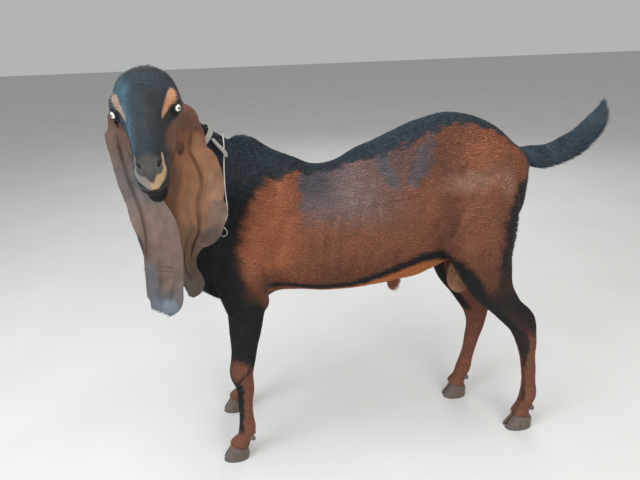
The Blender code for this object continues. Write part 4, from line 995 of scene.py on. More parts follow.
def shapeSkin(skin):
    points, facing = pointsOf(skin), normalsOf(skin)
    shares = shareOfRegions(points)
    onBody = 1.0 - shares["head"][0]
    # the solids reach to the hair's tips, so the skin lies below them by the depth of the coat
    rise = strokes(mirrored(points), relief) * step(0.3, 0.8, onBody) - ofRegions(shares, "deep")
    rise += 0.0009 * speckle(points, 0.09, 21) * onBody
    place = toHead(points)
    forward, left, crown = place.T
    mirror = mirrored(place)
    inHead = step(-0.03, 0.01, forward) * (np.abs(left) < 0.1) * (np.abs(crown) < 0.14)
    rise += strokes(mirror, headRelief) * inHead
    # closed mouth: a narrow groove along the lips, deepest at the front
    meet = crown - np.interp(forward, *face["mouth"])
    groove = np.exp(-(meet / 0.0024) ** 2) * step(0.165, 0.2, forward) * inHead
    lips = np.exp(-((np.abs(meet) - 0.0065) / 0.0045) ** 2) * step(0.19, 0.23, forward) * inHead
    rise += 0.0012 * lips - 0.0036 * groove
    # nostrils: a rim and a slanting hollow
    gap = (mirror - face["nostril"]) @ face["nostrilAxes"].T
    hollow = np.sqrt((gap[:, 0] / 0.0085) ** 2 + (gap[:, 1] / 0.0042) ** 2 + (gap[:, 2] / 0.0055) ** 2)
    rise += inHead * (0.0014 * np.exp(-((hollow - 1.5) / 0.45) ** 2) - 0.008 * np.exp(-hollow ** 4))
    points = points + facing * rise[:, None]
    # eye sockets: the skin inside the lids sinks behind the eyeball
    for side in (-1.0, 1.0):
        axis = (unit(eyeForm["gaze"]) * (1, side, 1)) @ head
        away = points - eyeCentre(side)
        deep = away @ axis
        across = np.linalg.norm(away - deep[:, None] * axis, axis=1)
        inside = fall(0.0085, 0.0135, across) * (deep > -0.004) * (np.abs(deep) < 0.03)
        points -= axis * (inside * np.maximum(deep + 0.003, 0.0))[:, None]
    return cutAtCoronet(points)


def thinSkin(skin):
    # the head keeps its fine mesh; the rest is thinned to the budget
    place = toHead(pointsOf(skin))
    ahead = (place[:, 0] > 0.0) & (np.abs(place[:, 1]) < 0.09) & (np.abs(place[:, 2]) < 0.12)
    skin.vertex_groups.new(name="rest").add(np.flatnonzero(~ahead).tolist(), 1.0, "REPLACE")
    kept = 2 * int(ahead.sum())
    full = 2 * len(skin.data.polygons)
    ratio = max(0.05, (skinForm["budget"] - kept) / (full - kept) * 0.8)
    addModifier(skin, "DECIMATE", vertex_group="rest", ratio=ratio)
    bakeModifiers(skin)
    addModifier(skin, "TRIANGULATE", quad_method="BEAUTY")
    bakeModifiers(skin)


def aroundLine(points, line, squared):
    # the share of the way along a line and the angle round it, measured from up squared to the line or not
    _, along, way, spot = nearLine(points, line)
    side = np.array([0.0, 1.0, 0.0])
    up = np.cross(way, side)
    if squared:
        up = unit(up)
    return along, np.arctan2((points - spot) @ side, ((points - spot) * up).sum(1))


def lieMap(points, shares):
    # streak coordinates: slow along the region's line, fast around it
    owner = ownerOf(shares)
    spread = np.zeros((len(points), 2))
    for number, region in enumerate(regions.values()):
        some = np.flatnonzero(owner == number)
        along, turn = aroundLine(points[some], region["line"], False)
        size = np.linalg.norm(np.diff(region["line"], axis=0), axis=1).sum()
        spread[some] = np.stack([along * size * skinForm["streaksAlong"],
                                 turn * region["reach"] * skinForm["streaksAround"]], 1)
    return spread


skin = joinedSkin()
skin.data.vertices.foreach_set("co", placeInFrame(shapeSkin(skin)).ravel())
skin.data.update()
thinSkin(skin)
skin.data.shade_smooth()
print("skin:", len(skin.data.polygons), "triangles")

skinPoints, skinNormals = pointsOf(skin), normalsOf(skin)
skinShares = shareOfRegions(skinPoints)
# the skin takes the coat's colours, darkened as painted shade beneath the tufts
setColour(skin, coatColour(skinPoints, skinShares) * skinForm["tone"])
setUv(skin, "lie", lieMap(skinPoints, skinShares))
legNodes = [f"{pair}leg_{side}{part}" for pair in ("fore", "hind") for side in ("left", "right")
            for part in ("", "_lower")]
finishPiece(skin, skinMaterial, "bay_coat", "trunk", "neck", "head", "lower_jaw", "tail", "prepuce",
            "scrotum", *legNodes)
skinTree = BVHTree.FromObject(skin, bpy.context.evaluated_depsgraph_get())


# The ears
earForm = {
    # rows: centre, direction across, half width, bulge, thickness
    # folds, the long pleats: ways along the ear, places across it there, half width, depth to the viewer
    # stops: way along the ear, and the colour there
    # patches: colour, place across and along, reach across and along, strength
    "left": {
        "slot": "tan_coat", "tufts": 14000,
        "rows": [
            (-0.014, -0.178, 1.038, 0, 0.93, 0.3, 0.018, 0.004, 0.012),
            (0.014, -0.18, 1.031, 0.1, 0.93, 0.2, 0.024, 0.006, 0.009),
            (0.024, -0.203, 1.003, 0.4, 0.9, 0.05, 0.04, 0.012, 0.007),
            (0.018, -0.212, 0.95, 0.6, 0.8, -0.05, 0.053, 0.018, 0.006),
            (0.015, -0.193, 0.872, 0.94, 0.32, -0.06, 0.064, 0.018, 0.005),
            (0.005, -0.192, 0.836, 0.96, 0.24, -0.06, 0.069, 0.016, 0.005),
            (0.006, -0.191, 0.8, 0.97, 0.2, -0.06, 0.071, 0.014, 0.005),
            (0.005, -0.191, 0.769, 0.98, 0.18, -0.06, 0.057, 0.013, 0.005),
            (-0.014, -0.191, 0.741, 0.98, 0.16, -0.06, 0.035, 0.012, 0.005),
            (-0.028, -0.191, 0.705, 0.98, 0.16, -0.06, 0.025, 0.01, 0.005),
            (-0.029, -0.192, 0.672, 0.98, 0.16, -0.06, 0.024, 0.008, 0.005),
            (-0.018, -0.193, 0.632, 0.98, 0.16, -0.07, 0.024, 0.005, 0.005),
            (-0.022, -0.193, 0.615, 0.98, 0.16, -0.07, 0.018, 0.003, 0.005),
            (-0.028, -0.193, 0.604, 0.98, 0.16, -0.07, 0.009, 0.001, 0.004),
        ],
        "folds": [
            ((0.12, 0.2, 0.3, 0.39, 0.48, 0.57, 0.63, 0.69, 0.79),
             (0.2, 0.21, 0.26, 0.29, 0.2, 0.11, 0.12, 0.33, 0.66), 0.034, -0.0075),
            ((0.16, 0.3, 0.42, 0.57, 0.68), (0.05, 0.12, 0.16, -0.02, 0.1), 0.11, 0.0042),
            ((0.34, 0.41, 0.55, 0.7, 0.85, 0.94), (-0.17, -0.17, -0.19, -0.1, 0, 0.1), 0.035, -0.0026),
            ((0.26, 0.36, 0.5, 0.62), (-0.42, -0.46, -0.5, -0.55), 0.1, -0.004),
            ((0.3, 0.44, 0.6), (0.62, 0.66, 0.62), 0.16, 0.0035),
            ((0.72, 0.8, 0.9, 0.97), (-0.3, -0.25, -0.35, -0.3), 0.12, 0.0022),
        ],
        "stops": [
            (0, 0.11, 0.045, 0.028), (0.12, 0.15, 0.058, 0.032), (0.22, 0.235, 0.102, 0.05),
            (0.42, 0.285, 0.138, 0.07), (0.58, 0.255, 0.125, 0.07), (0.7, 0.17, 0.098, 0.062),
            (0.8, 0.145, 0.09, 0.06), (0.9, 0.105, 0.075, 0.06), (1, 0.085, 0.068, 0.058),
        ],
        "patches": [
            (0.31, 0.155, 0.085, 0.6, 0.32, 0.32, 0.14, 0.8), (0.29, 0.16, 0.098, 0.8, 0.45, 0.3, 0.12, 0.7),
            (0.165, 0.11, 0.092, 0.85, 0.6, 0.46, 0.12, 0.7),
            (0.085, 0.055, 0.05, 0.72, 0.655, 0.45, 0.035, 0.75),
            # first on this line, darker brown on the side towards the muzzle: painted shade
            (0.105, 0.05, 0.03, -0.85, 0.4, 0.36, 0.2, 0.75), (0.085, 0.04, 0.028, 0.1, 0.12, 1.2, 0.05, 0.5),
        ],
    },
    "right": {
        "slot": "grey_ear", "tufts": 12000,
        "rows": [
            (-0.101, -0.188, 1.033, 0, -0.93, -0.3, 0.018, 0.004, 0.012),
            (-0.129, -0.199, 1.024, 0.3, -0.9, -0.2, 0.034, 0.006, 0.009),
            (-0.127, -0.202, 0.992, 0.64, -0.74, -0.1, 0.048, 0.01, 0.007),
            (-0.123, -0.199, 0.94, 0.77, -0.62, 0, 0.042, 0.013, 0.006),
            (-0.11, -0.21, 0.882, 0.85, -0.5, 0, 0.042, 0.014, 0.005),
            (-0.092, -0.215, 0.844, 0.95, -0.3, 0, 0.047, 0.012, 0.005),
            (-0.079, -0.218, 0.806, 0.98, -0.15, 0, 0.049, 0.01, 0.005),
            (-0.07, -0.22, 0.737, 0.99, -0.1, 0, 0.045, 0.008, 0.005),
            (-0.078, -0.22, 0.65, 0.99, -0.1, 0, 0.043, 0.008, 0.005),
            (-0.085, -0.218, 0.604, 0.99, -0.1, 0.05, 0.039, 0.006, 0.005),
            (-0.097, -0.217, 0.581, 0.99, -0.1, 0.16, 0.025, 0.003, 0.004),
        ],
        "folds": [
            ((0.12, 0.24, 0.37, 0.45, 0.53, 0.6, 0.68, 0.73),
             (-0.2, -0.36, -0.41, -0.46, -0.54, -0.66, -0.86, -0.94), 0.045, -0.0062),
            ((0.16, 0.26, 0.37, 0.46, 0.56, 0.66), (0.05, -0.1, -0.18, -0.24, -0.3, -0.42), 0.14, 0.0036),
            ((0.1, 0.18, 0.3, 0.42), (0.55, 0.45, 0.28, 0.1), 0.08, -0.0022),
            ((0.28, 0.4, 0.52, 0.64), (0.7, 0.5, 0.42, 0.38), 0.09, -0.0022),
            ((0.7, 0.8, 0.9, 0.98), (-0.35, -0.3, -0.4, -0.3), 0.14, -0.003),
            ((0.8, 0.88, 0.96), (0.45, 0.3, 0.15), 0.12, -0.0028),
        ],
        "stops": [
            (0, 0.11, 0.05, 0.034), (0.13, 0.15, 0.078, 0.052), (0.22, 0.15, 0.1, 0.08),
            (0.36, 0.145, 0.118, 0.11), (0.5, 0.215, 0.145, 0.118), (0.66, 0.18, 0.116, 0.094),
            (0.82, 0.145, 0.1, 0.082), (1, 0.115, 0.124, 0.14),
        ],
        "patches": [
            (0.12, 0.11, 0.11, 0.3, 0.36, 0.6, 0.1, 0.6), (0.125, 0.122, 0.134, -0.7, 0.86, 0.34, 0.13, 0.85),
            (0.185, 0.118, 0.084, 0.2, 0.83, 0.38, 0.045, 0.75),
            # next, a pale blue-grey painted highlight near the tip
            (0.17, 0.2, 0.24, 0.35, 0.965, 0.55, 0.035, 0.85),
            (0.13, 0.15, 0.18, -0.45, 0.965, 0.5, 0.06, 0.7),
            # last, a near-black spot at the edge by the long fold: painted shade
            (0.035, 0.038, 0.048, -1, 0.635, 0.16, 0.05, 0.9),
        ],
    },
    # rings of points, points across, share of the thickness left below the root, how much darker the
    # sheet is than its hair (painted shade beneath the hair), and the streaks of its coat along and across
    "rings": 220, "across": 72, "thin": 0.62, "tone": 0.85, "streaksAlong": 45.0, "streaksAcross": 260.0,
    "hair": 0.0085, "wide": 0.001, "lift": 0.07,
}


def foldShape(fold, share, way):
    # how near a point is to a pleat's bent line, faded at both its ends
    ways, places, narrow, _ = fold
    sway = np.interp(way, ways, places)
    fade = step(ways[0] - 0.02, ways[0] + 0.08, way) * fall(ways[-1] - 0.08, ways[-1] + 0.02, way)
    return fade * np.exp(-((share - sway) / narrow) ** 2)


def wrinkles(share, way):
    # fine wrinkles across the lower half of the right ear, and broader ones towards its tip
    fine = step(0.64, 0.7, way) * fall(0.76, 0.84, way) * np.exp(-((share - 0.1) / 0.55) ** 2)
    broad = step(0.78, 0.84, way) * fall(0.96, 1.0, way) * np.exp(-((share - 0.1) / 0.6) ** 2)
    return (0.0007 * fine * np.sin(way * 215.0 + 6.0 * np.sin(way * 23.0) - 3.0 * share**2),
            0.0022 * broad * np.sin(way * 62.0 + share * 2.5))


def earSurface(name):
    # a sheet of rounded section carried along the ear's middle line, pleated along its length;
    # share runs -1 to 1 across it and way 0 to 1 down it
    rows = smoothRows(earForm[name]["rows"], earForm["rings"])
    centres, wide, normal = pathFrame(rows)
    share = np.cos(np.linspace(0.0, math.pi, earForm["across"] + 1))[None]
    way = np.linspace(0.0, 1.0, earForm["rings"])[:, None]
    bulge = rows[:, 7:8] * (1.0 - share**2)
    for fold in earForm[name]["folds"]:
        bulge = bulge + fold[3] * foldShape(fold, share, way)
    if name == "right":
        for wave in wrinkles(share, way):
            bulge = bulge + wave
    rim = np.sqrt(np.clip(1.0 - share**4, 0.0, 1.0))
    thick = rows[:, 8:9] / 2.0 * (earForm["thin"] + (1 - earForm["thin"]) * fall(0.0, 0.12, way))
    # the outline waves a little
    edge = rows[:, 6:7] * (1.0 + 0.012 * np.sin(way * 47.0) * np.sign(share)) - 0.001
    middle = centres[:, None] + wide[:, None] * (edge * share)[..., None]
    outer = middle - normal[:, None] * (bulge + thick * rim)[..., None]
    inner = middle - normal[:, None] * (bulge - thick * rim)[..., None]
    points = np.concatenate([outer, inner[:, -2:0:-1]], axis=1)
    share = np.repeat(share, len(way), 0)
    share = np.concatenate([share, share[:, -2:0:-1]], 1)
    return points, share, np.repeat(way, share.shape[1], 1)


def earColour(name, share, way, points):
    # rows of colour down each ear, soft patches over them, and painted shade in the pleats that sink with a
    # little painted light on those that rise
    stops = np.array(earForm[name]["stops"])
    colour = np.stack([np.interp(way, stops[:, 0], stops[:, i]) for i in (1, 2, 3)], -1)
    for *tone, across, down, wide, tall, amount in earForm[name]["patches"]:
        gap = ((share - across) / wide) ** 2 + ((way - down) / tall) ** 2
        colour = colour + (np.array(tone) - colour) * (amount * fall(0.35, 1.6, gap))[..., None]
    # painted shade and light by each pleat's depth
    shade = sum(fold[3] * foldShape(fold, share, way) for fold in earForm[name]["folds"])
    colour = colour * (1.0 + np.clip(shade * 62.0, -0.55, 0.18))[..., None]
    points = points.reshape(-1, 3)
    cloud = speckle(points, 0.03, 31) + 0.6 * speckle(points, 0.012, 32)
    return colour * (1.0 + 0.1 * cloud.reshape(way.shape))[..., None]


ears = {}
for name in ("left", "right"):
    points, share, way = earSurface(name)
    ear = makePiece(f"goat_ear_{name}", *capped(points))
    colours = earColour(name, share, way, points).reshape(-1, 3)
    # the sheet takes its hair's colours, darkened as painted shade beneath the hair
    setColour(ear, np.vstack([colours, colours[:1], colours[-1:]]) * earForm["tone"])
    spread = np.stack([way * earForm["streaksAlong"], share * earForm["streaksAcross"]], -1).reshape(-1, 2)
    setUv(ear, "lie", np.vstack([spread, spread[:1], spread[-1:]]))
    finishPiece(ear, earMaterial, earForm[name]["slot"], f"ear_{name}")
    ears[name] = (points, share, way, ear)
print("ears:", sum(len(e[3].data.polygons) for e in ears.values()), "faces")


# The eyes and lids
def eyeMaterial():
    # pale iris with a level bar pupil, both read from the eye's own map centred on the gaze
    made, tree, surface, place = newMaterial("eyeGloss", (0.6, 0.6, 0.55), "gaze")
    split = addNode(tree, "SeparateXYZ", {0: place}, None)

    def work(operation, first, second=0.0):
        return addNode(tree, "Math", {0: first, 1: second}, operation=operation)

    def oval(radii, power, inner, outer):
        # 0 inside, 1 outside, by the sum of the powers of place over radius
        parts = [work("POWER", work("ABSOLUTE", work("DIVIDE", split[i], radii[i])), power) for i in (0, 1)]
        return addNode(tree, "MapRange", {"Value": work("ADD", *parts), "From Min": inner, "From Max": outer})

    rays = addNode(tree, "TexNoise", {"Vector": place, "Scale": 900.0})
    pale = blend(tree, rays, (0.62, 0.6, 0.5), (0.88, 0.89, 0.84))
    rim = blend(tree, oval(eyeForm["iris"], 2.0, 0.86, 1.1), pale, (0.055, 0.04, 0.032))
    full = blend(tree, oval(eyeForm["pupil"], 2.6, 0.8, 1.15), (0.004, 0.004, 0.006), rim)
    feed(tree, surface, {"Base Color": full, "Roughness": 0.12, "Coat Weight": 1.0, "Coat Roughness": 0.02})
    return made


def gazeAxes(side):
    # rows: out along the gaze, level towards the nose, and up, all at right angles
    out = unit((eyeForm["gaze"] * (1, side, 1)) @ head)
    up = unit(head[2] - out * (head[2] @ out))
    return np.stack([out, np.cross(up, out), up])


def eyeBall(side):
    # rings round the gaze axis, with the clear front bulging a little
    polar = np.linspace(0.03, math.pi - 0.03, 40)[:, None]
    turn = turns(56)[None]
    radius = eyeForm["radius"] * (1.0 + 0.045 * np.exp(-(polar / 0.42) ** 4))
    out = np.repeat(radius * np.cos(polar), turn.shape[1], 1)
    local = np.stack([out, radius * np.sin(polar) * np.cos(turn), radius * np.sin(polar) * np.sin(turn)], -1)
    verts, faces = capped((local @ gazeAxes(side) + eyeCentre(side))[::-1])
    return verts, faces, np.vstack([local[::-1, :, 1:].reshape(-1, 2), [[1.0, 1.0]], [[0.0, 0.0]]])


def lidRing(side):
    # a closed soft ring: turn runs round the almond opening; the section runs from the wet edge outwards
    # over the rolled margin and down into the skin
    turn = turns(96)[:, None]
    cos, sin = np.cos(turn), np.sin(turn)
    high = np.where(sin > 0, eyeForm["upper"], eyeForm["lower"]) * powered(sin, 1.25)
    edge = np.concatenate([eyeForm["length"] * cos, high], 1)
    outward = unit(edge / (np.array([eyeForm["length"], eyeForm["upper"]]) ** 2))
    section = np.array([  # distance outwards from the edge, height over the ball
        (0, -0.0016), (0, 0.0004), (0.0005, 0.0013), (0.0015, 0.0019), (0.0028, 0.0017), (0.004, 0.0011),
        (0.0055, 0.0013), (0.0075, 0.0006), (0.01, -0.001), (0.0125, -0.0035), (0.011, -0.006),
        (0.006, -0.005), (0.002, -0.0035),
    ])
    flat = edge[:, None] + outward[:, None] * section[None, :, :1]
    lift = section[None, :, 1] * np.where(sin > 0, 1.0, 0.75)
    # over the ball's front the section follows its roundness, and beyond that it falls away evenly
    front = 0.0122
    span = np.minimum(np.linalg.norm(flat, axis=-1), 0.0215)
    base = np.sqrt(np.maximum((eyeForm["radius"] + 0.0002) ** 2 - np.minimum(span, front) ** 2, 0.0))
    base = base - np.maximum(span - front, 0.0) * 0.55
    local = np.concatenate([(base + lift)[..., None], flat], -1)
    return local @ gazeAxes(side) + eyeCentre(side)


eyeGloss = eyeMaterial()
for name, side in (("left", 1.0), ("right", -1.0)):
    verts, faces, flat = eyeBall(side)
    eye = makePiece(f"goat_eye_{name}", verts, faces)
    setUv(eye, "gaze", flat)
    finishPiece(eye, eyeGloss, "eye", f"eye_{name}")
    points = lidRing(side)
    rings, around, _ = points.shape
    quads = gridFaces(rings, around, True)
    points = points.reshape(-1, 3)
    lid = makePiece(f"goat_lids_{name}", points, quads if side > 0 else quads[:, ::-1])
    setColour(lid, plain("black", points) * 0.9)
    setUv(lid, "lie", gridUv(np.zeros(rings), np.arange(around) * 1.0)[:, ::-1])
    finishPiece(lid, skinMaterial, "face_coat")
print("eyes and lids")


# The hooves
def clawSurface(toe, heel, middle, side):
    # levels from the flat sole to the sloping coronet; each ring is a curved outer wall and an
    # upright inner wall, with rounded edges at the sole and the top
    level = np.linspace(0.0, 1.0, hoof["levels"])[:, None]
    start = toe + hoof["setBack"] * level ** 0.92
    stop = heel - hoof["heelBack"] * level
    half, mid = (stop - start) / 2.0, (stop + start) / 2.0
    turn = np.linspace(0.0, math.pi, hoof["around"])[None]
    bevel = 1.0 - 0.03 * fall(0.0, 0.1, level) - 0.03 * step(0.9, 1.0, level)
    along = mid - np.cos(turn) * half * bevel
    share = (along - start) / (stop - start)
    out = hoof["wide"] * (1.0 - 0.1 * level) * np.sin(turn) ** 0.75 * bevel
    height = level * (hoof["front"] + (hoof["back"] - hoof["front"]) * share)
    splay = hoof["cleft"] + 0.0022 * (1.0 - share) * (1.0 - level)
    outer = np.stack([along, middle + side * (splay + out), height], -1)
    inner = np.stack([along, middle + side * splay, height], -1)[:, -2:0:-1]
    return np.concatenate([outer, inner], 1)


hornFinish = grainMaterial("hoofHorn", hoof)
for label, (toe, heel, middle, spur) in feet.items():
    for part, side in (("outer", math.copysign(1.0, middle)), ("inner", -math.copysign(1.0, middle))):
        verts, faces = capped(clawSurface(toe, heel, middle, side))
        claw = makePiece(f"goat_claw_{label}_{part}", verts, faces if side > 0 else [f[::-1] for f in faces])
        finishPiece(claw, hornFinish, "hoof_horn", f"claw_{label}_{part}")
        place = (spur, middle + side * hoof["spurAside"], hoof["spurHeight"])
        verts, faces = ball(place, hoof["spurRadii"], steps=16, axes=hoof["spurAxes"])
        dewclaw = makePiece(f"goat_dewclaw_{label}_{part}", verts, faces)
        finishPiece(dewclaw, hornFinish, "hoof_horn", f"dewclaw_{label}_{part}")
print("hooves")


# The collar: strap, its free end, neck cord and ring
collar = {
    "centre": np.array([-0.026, -0.025, 0.916]), "normal": unit(np.array([-0.5, -0.26, 0.83])),
    "width": 0.013, "thick": 0.0028, "lift": 0.0072, "count": 150,
    "tongueStart": np.array([0.0385, -0.042, 0.9375]), "tongueEnd": np.array([0.0766, -0.0526, 0.889]),
    "tongueLift": 0.0094, "tongueTilt": 0.008,
    # its size up, down and sideways; then the share of the way along it and of the full size there
    "tongueSize": np.array([0.003, 0.0026, 0.0048]),
    "tongueTaper": ((0.0, 0.5), (0.05, 0.85), (0.2, 1.0), (0.8, 1.0), (0.93, 0.85), (0.98, 0.5), (1.0, 0.2)),
    "tongueRings": 60, "tongueAround": 28,
    # the weave on the strap's map, along (for each metre) and round it, and both on its free end's map
    "weaveAlong": 900.0, "weaveAround": 14.0, "tongueWeave": (50.0, 12.0),
    "webbing": {"view": (0.3, 0.29, 0.26), "uv": "weave", "light": (0.4, 0.385, 0.345),
                "dark": (0.15, 0.142, 0.125), "scale": 0.8, "wave": ("DIAGONAL", 0.9, 0.8),
                "bump": (0.0004, 0.8), "rough": 0.86},
    # the cord's places near the neck, and how far off the skin it lies there
    "cord": np.array([
        (0.058, 0, 0.935, 0.009), (0.063, -0.052, 0.88, 0.009), (0.066, -0.095, 0.805, 0.0095),
        (0.064, -0.11, 0.76, 0.009), (0.048, -0.112, 0.736, 0.015), (0.008, -0.095, 0.705, 0.009),
        (-0.038, -0.05, 0.705, 0.009), (-0.052, 0.01, 0.712, 0.009), (-0.01, 0.08, 0.74, 0.009),
        (0.04, 0.08, 0.84, 0.009),
    ]),
    # its thickness, points along it, points read along the smooth path, and one turn of the twist
    "cordRadius": 0.0016, "cordCount": 900, "pathCount": 160, "pitch": 0.0085,
    "cordLook": {"view": (0.5, 0.46, 0.4), "light": (0.64, 0.6, 0.53), "dark": (0.3, 0.265, 0.22),
                 "scale": 420.0, "bump": (0.0003, 0.6), "rough": 0.8},
    "ringRadius": 0.0135, "wireRadius": 0.0015,
    "ringLook": {"view": (0.5, 0.49, 0.46), "light": (0.56, 0.54, 0.5), "dark": (0.21, 0.17, 0.13),
                 "scale": 160.0, "rough": (0.55, 0.28), "surface": {"Metallic": 1.0}},
}


def nearestSkin(place):
    spot, facing, _, _ = skinTree.find_nearest(Vector(place - bodyShift))
    return np.array(spot) + bodyShift, np.array(facing)


def strapLoop():
    # a rounded flat section carried round the neck in one slanting plane, laid on the skin
    centre, normal = collar["centre"], collar["normal"]
    across = unit(np.cross(np.array([0.0, 1.0, 0.0]), normal))
    up = np.cross(normal, across)
    turn = turns(collar["count"])[:, None]
    rays = across * np.cos(turn) + up * np.sin(turn)
    edges = []
    for edge in (-0.5, 0.0, 0.5):
        middle = centre + normal * collar["width"] * edge
        hits = [skinTree.ray_cast(Vector(middle + ray * 0.3 - bodyShift), Vector(-ray))[0] for ray in rays]
        loop = np.array(hits) + bodyShift + rays * collar["lift"]
        # drawn tight: a point moves only when that takes it outwards
        for _ in range(30):
            eased = easedLoop(loop)
            outside = ((eased - middle) ** 2).sum(1) > ((loop - middle) ** 2).sum(1)
            loop = np.where(outside[:, None], eased, loop)
        edges.append(loop)
    low, mid, high = edges
    out = unit(mid - centre - ((mid - centre) @ normal)[:, None] * normal)
    turn = turns(20)
    share = powered(np.cos(turn), 0.45)[None, :, None]
    rise = ((powered(np.sin(turn), 0.45) + 1.0) / 2.0 * collar["thick"])[None, :, None]
    return low[:, None] * ((1 - share) / 2) + high[:, None] * ((1 + share) / 2) + out[:, None] * rise


webbing = grainMaterial("strapWebbing", collar["webbing"])
points = strapLoop()
strap = makePiece("goat_collar_strap", points.reshape(-1, 3), gridFaces(*points.shape[:2], True))
size = np.linalg.norm(np.roll(points.mean(1), -1, 0) - points.mean(1), axis=1).sum()
along = np.linspace(0.0, size * collar["weaveAlong"], points.shape[0])
setUv(strap, "weave", gridUv(along, np.linspace(0.0, collar["weaveAround"], points.shape[1])))
finishPiece(strap, webbing, "webbing", "collar_strap")

rows = []
for share, size in collar["tongueTaper"]:
    spot, facing = nearestSkin(collar["tongueStart"] + (collar["tongueEnd"] - collar["tongueStart"]) * share)
    place = spot + facing * (collar["tongueLift"] + collar["tongueTilt"] * share)
    rows.append((*place, *facing, *(collar["tongueSize"] * size), 0.7, 0.7))
rings, around = collar["tongueRings"], collar["tongueAround"]
tongue = makePiece("goat_collar_tongue", *ovalTube(rows, rings, around))
along, across = collar["tongueWeave"]
spread = gridUv(np.linspace(0.0, along, rings), np.linspace(0.0, across, around))
setUv(tongue, "weave", np.vstack([spread, [(0.0, 0.0), (along, 0.0)]]))
finishPiece(tongue, webbing, "webbing", "collar_tongue")


def cordPath():
    # a smooth closed line through the cord's places, kept off the skin by its own height
    rows = np.vstack([collar["cord"][-2:], collar["cord"], collar["cord"][:3]])
    count = 900
    fine = smoothRows(rows, count)
    # one full round: from the first place to where the line meets it again
    far = np.linalg.norm(fine[:, :3] - rows[2, :3], axis=1)
    first, last = np.argmin(far[:count // 2]), count // 2 + np.argmin(far[count // 2:])
    fine = fine[np.linspace(first, last, collar["pathCount"] + 1).round().astype(int)[:-1]]
    loop = fine[:, :3]
    for _ in range(3):
        found = [nearestSkin(place) for place in loop]
        outward = np.array([facing for _, facing in found])
        loop = np.array([spot for spot, _ in found]) + outward * fine[:, 3:4]
        for _ in range(12):
            loop = easedLoop(loop)
    return loop, outward


def twistedCord(loop, outward):
    # two round strands winding about the path, read at many points along it
    count = collar["cordCount"]
    place = np.linspace(0, len(loop), count, endpoint=False)
    low = np.floor(place).astype(int) % len(loop)
    high = (low + 1) % len(loop)
    share = (place - np.floor(place))[:, None]
    centre = loop[low] * (1 - share) + loop[high] * share
    for _ in range(6):
        centre = easedLoop(centre)
    out = outward[low] * (1 - share) + outward[high] * share
    along = unit(np.roll(centre, -1, 0) - np.roll(centre, 1, 0))
    side = unit(np.cross(along, out))
    out = np.cross(side, along)
    size = np.linalg.norm(np.roll(centre, -1, 0) - centre, axis=1).sum()
    wind = np.linspace(0.0, 2.0 * math.pi * round(size / collar["pitch"]), count, endpoint=False)[:, None]
    turn = turns(14)[None]
    radius = collar["cordRadius"] * (0.72 + 0.28 * np.abs(np.cos(turn - wind)))
    across, rise = (radius * np.cos(turn))[..., None], (radius * np.sin(turn))[..., None]
    return centre[:, None] + across * out[:, None] + rise * side[:, None]


points = twistedCord(*cordPath())
cord = makePiece("goat_neck_cord", points.reshape(-1, 3), gridFaces(*points.shape[:2], True))
finishPiece(cord, grainMaterial("neckCord", collar["cordLook"]), "cord", "neck_cord")

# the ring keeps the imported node's own place: its middle and its flat direction are read from it
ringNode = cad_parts["lead_ring"]
spots = np.array([vert.co for vert in ringNode.data.vertices], float) + bodyShift
middle = spots.mean(0)
first, second, _ = np.linalg.svd(spots - middle, full_matrices=False)[2]
turn, small = turns(96)[:, None, None], turns(18)[None, :, None]
radial, axis = first * np.cos(turn) + second * np.sin(turn), np.cross(first, second)
wire = collar["wireRadius"]
points = middle + radial * (collar["ringRadius"] + wire * np.cos(small)) + axis * wire * np.sin(small)
ring = makePiece("goat_lead_ring", points.reshape(-1, 3), gridFaces(*points.shape[:2], True))
finishPiece(ring, grainMaterial("ringSteel", collar["ringLook"]), "ring_steel", "lead_ring")
print("collar, cord and ring")


# The coat: tufts over the skin
def tuftMesh(name, slot, roots, normals, lie, length, wide, lift, colours, spots):
    # each tuft is a closed spindle of five points: a buried root, a three-cornered waist and a tip;
    # its map holds a small patch at its root's place
    count = len(roots)
    sway = chance.normal(0.0, 0.16, count)[:, None]
    lie = unit(lie + np.cross(normals, lie) * sway)
    long = (length * chance.uniform(0.75, 1.2, count))[:, None]
    half = (wide * chance.uniform(0.75, 1.25, count) / 2)[:, None]
    rise = (lift * chance.uniform(0.5, 1.5, count))[:, None]
    roll = chance.normal(0.0, 0.35, count)[:, None]
    flat = unit(np.cross(normals, lie) + normals * roll)
    base = roots - normals * 0.001 - lie * long * 0.1
    waist = roots + lie * long * 0.36 + normals * (0.0004 + long * rise * 0.55)
    tip = roots + lie * long * 0.9 + normals * (0.0002 + long * rise)
    crest = waist + normals * half * 0.75
    verts = np.stack([base, waist + flat * half, crest, waist - flat * half, tip], 1).reshape(-1, 3)
    first = np.arange(count)[:, None, None] * 5
    pattern = np.array([(0, 2, 1), (0, 3, 2), (0, 1, 3), (4, 1, 2), (4, 2, 3), (4, 3, 1)])[None]
    piece = makePiece(name, verts, (first + pattern).reshape(-1, 3))
    tone = chance.normal(1.0, 0.08, count).clip(0.7, 1.35)[:, None, None]
    # painted shade towards each tuft's buried root, painted light on its crest and tip
    shade = np.array([0.72, 0.96, 1.03, 0.96, 1.14])[None, :, None]
    setColour(piece, (colours[:, None] * tone * shade).reshape(-1, 3))
    patch = 0.003 * np.array([(0.0, -0.5), (-0.5, 0.0), (0.0, 0.0), (0.5, 0.0), (0.0, 0.5)])
    setUv(piece, "OFBake", (spots[:, None] + patch[None]).reshape(-1, 2))
    finishPiece(piece, tuftMaterial, slot)
    return len(piece.data.polygons)


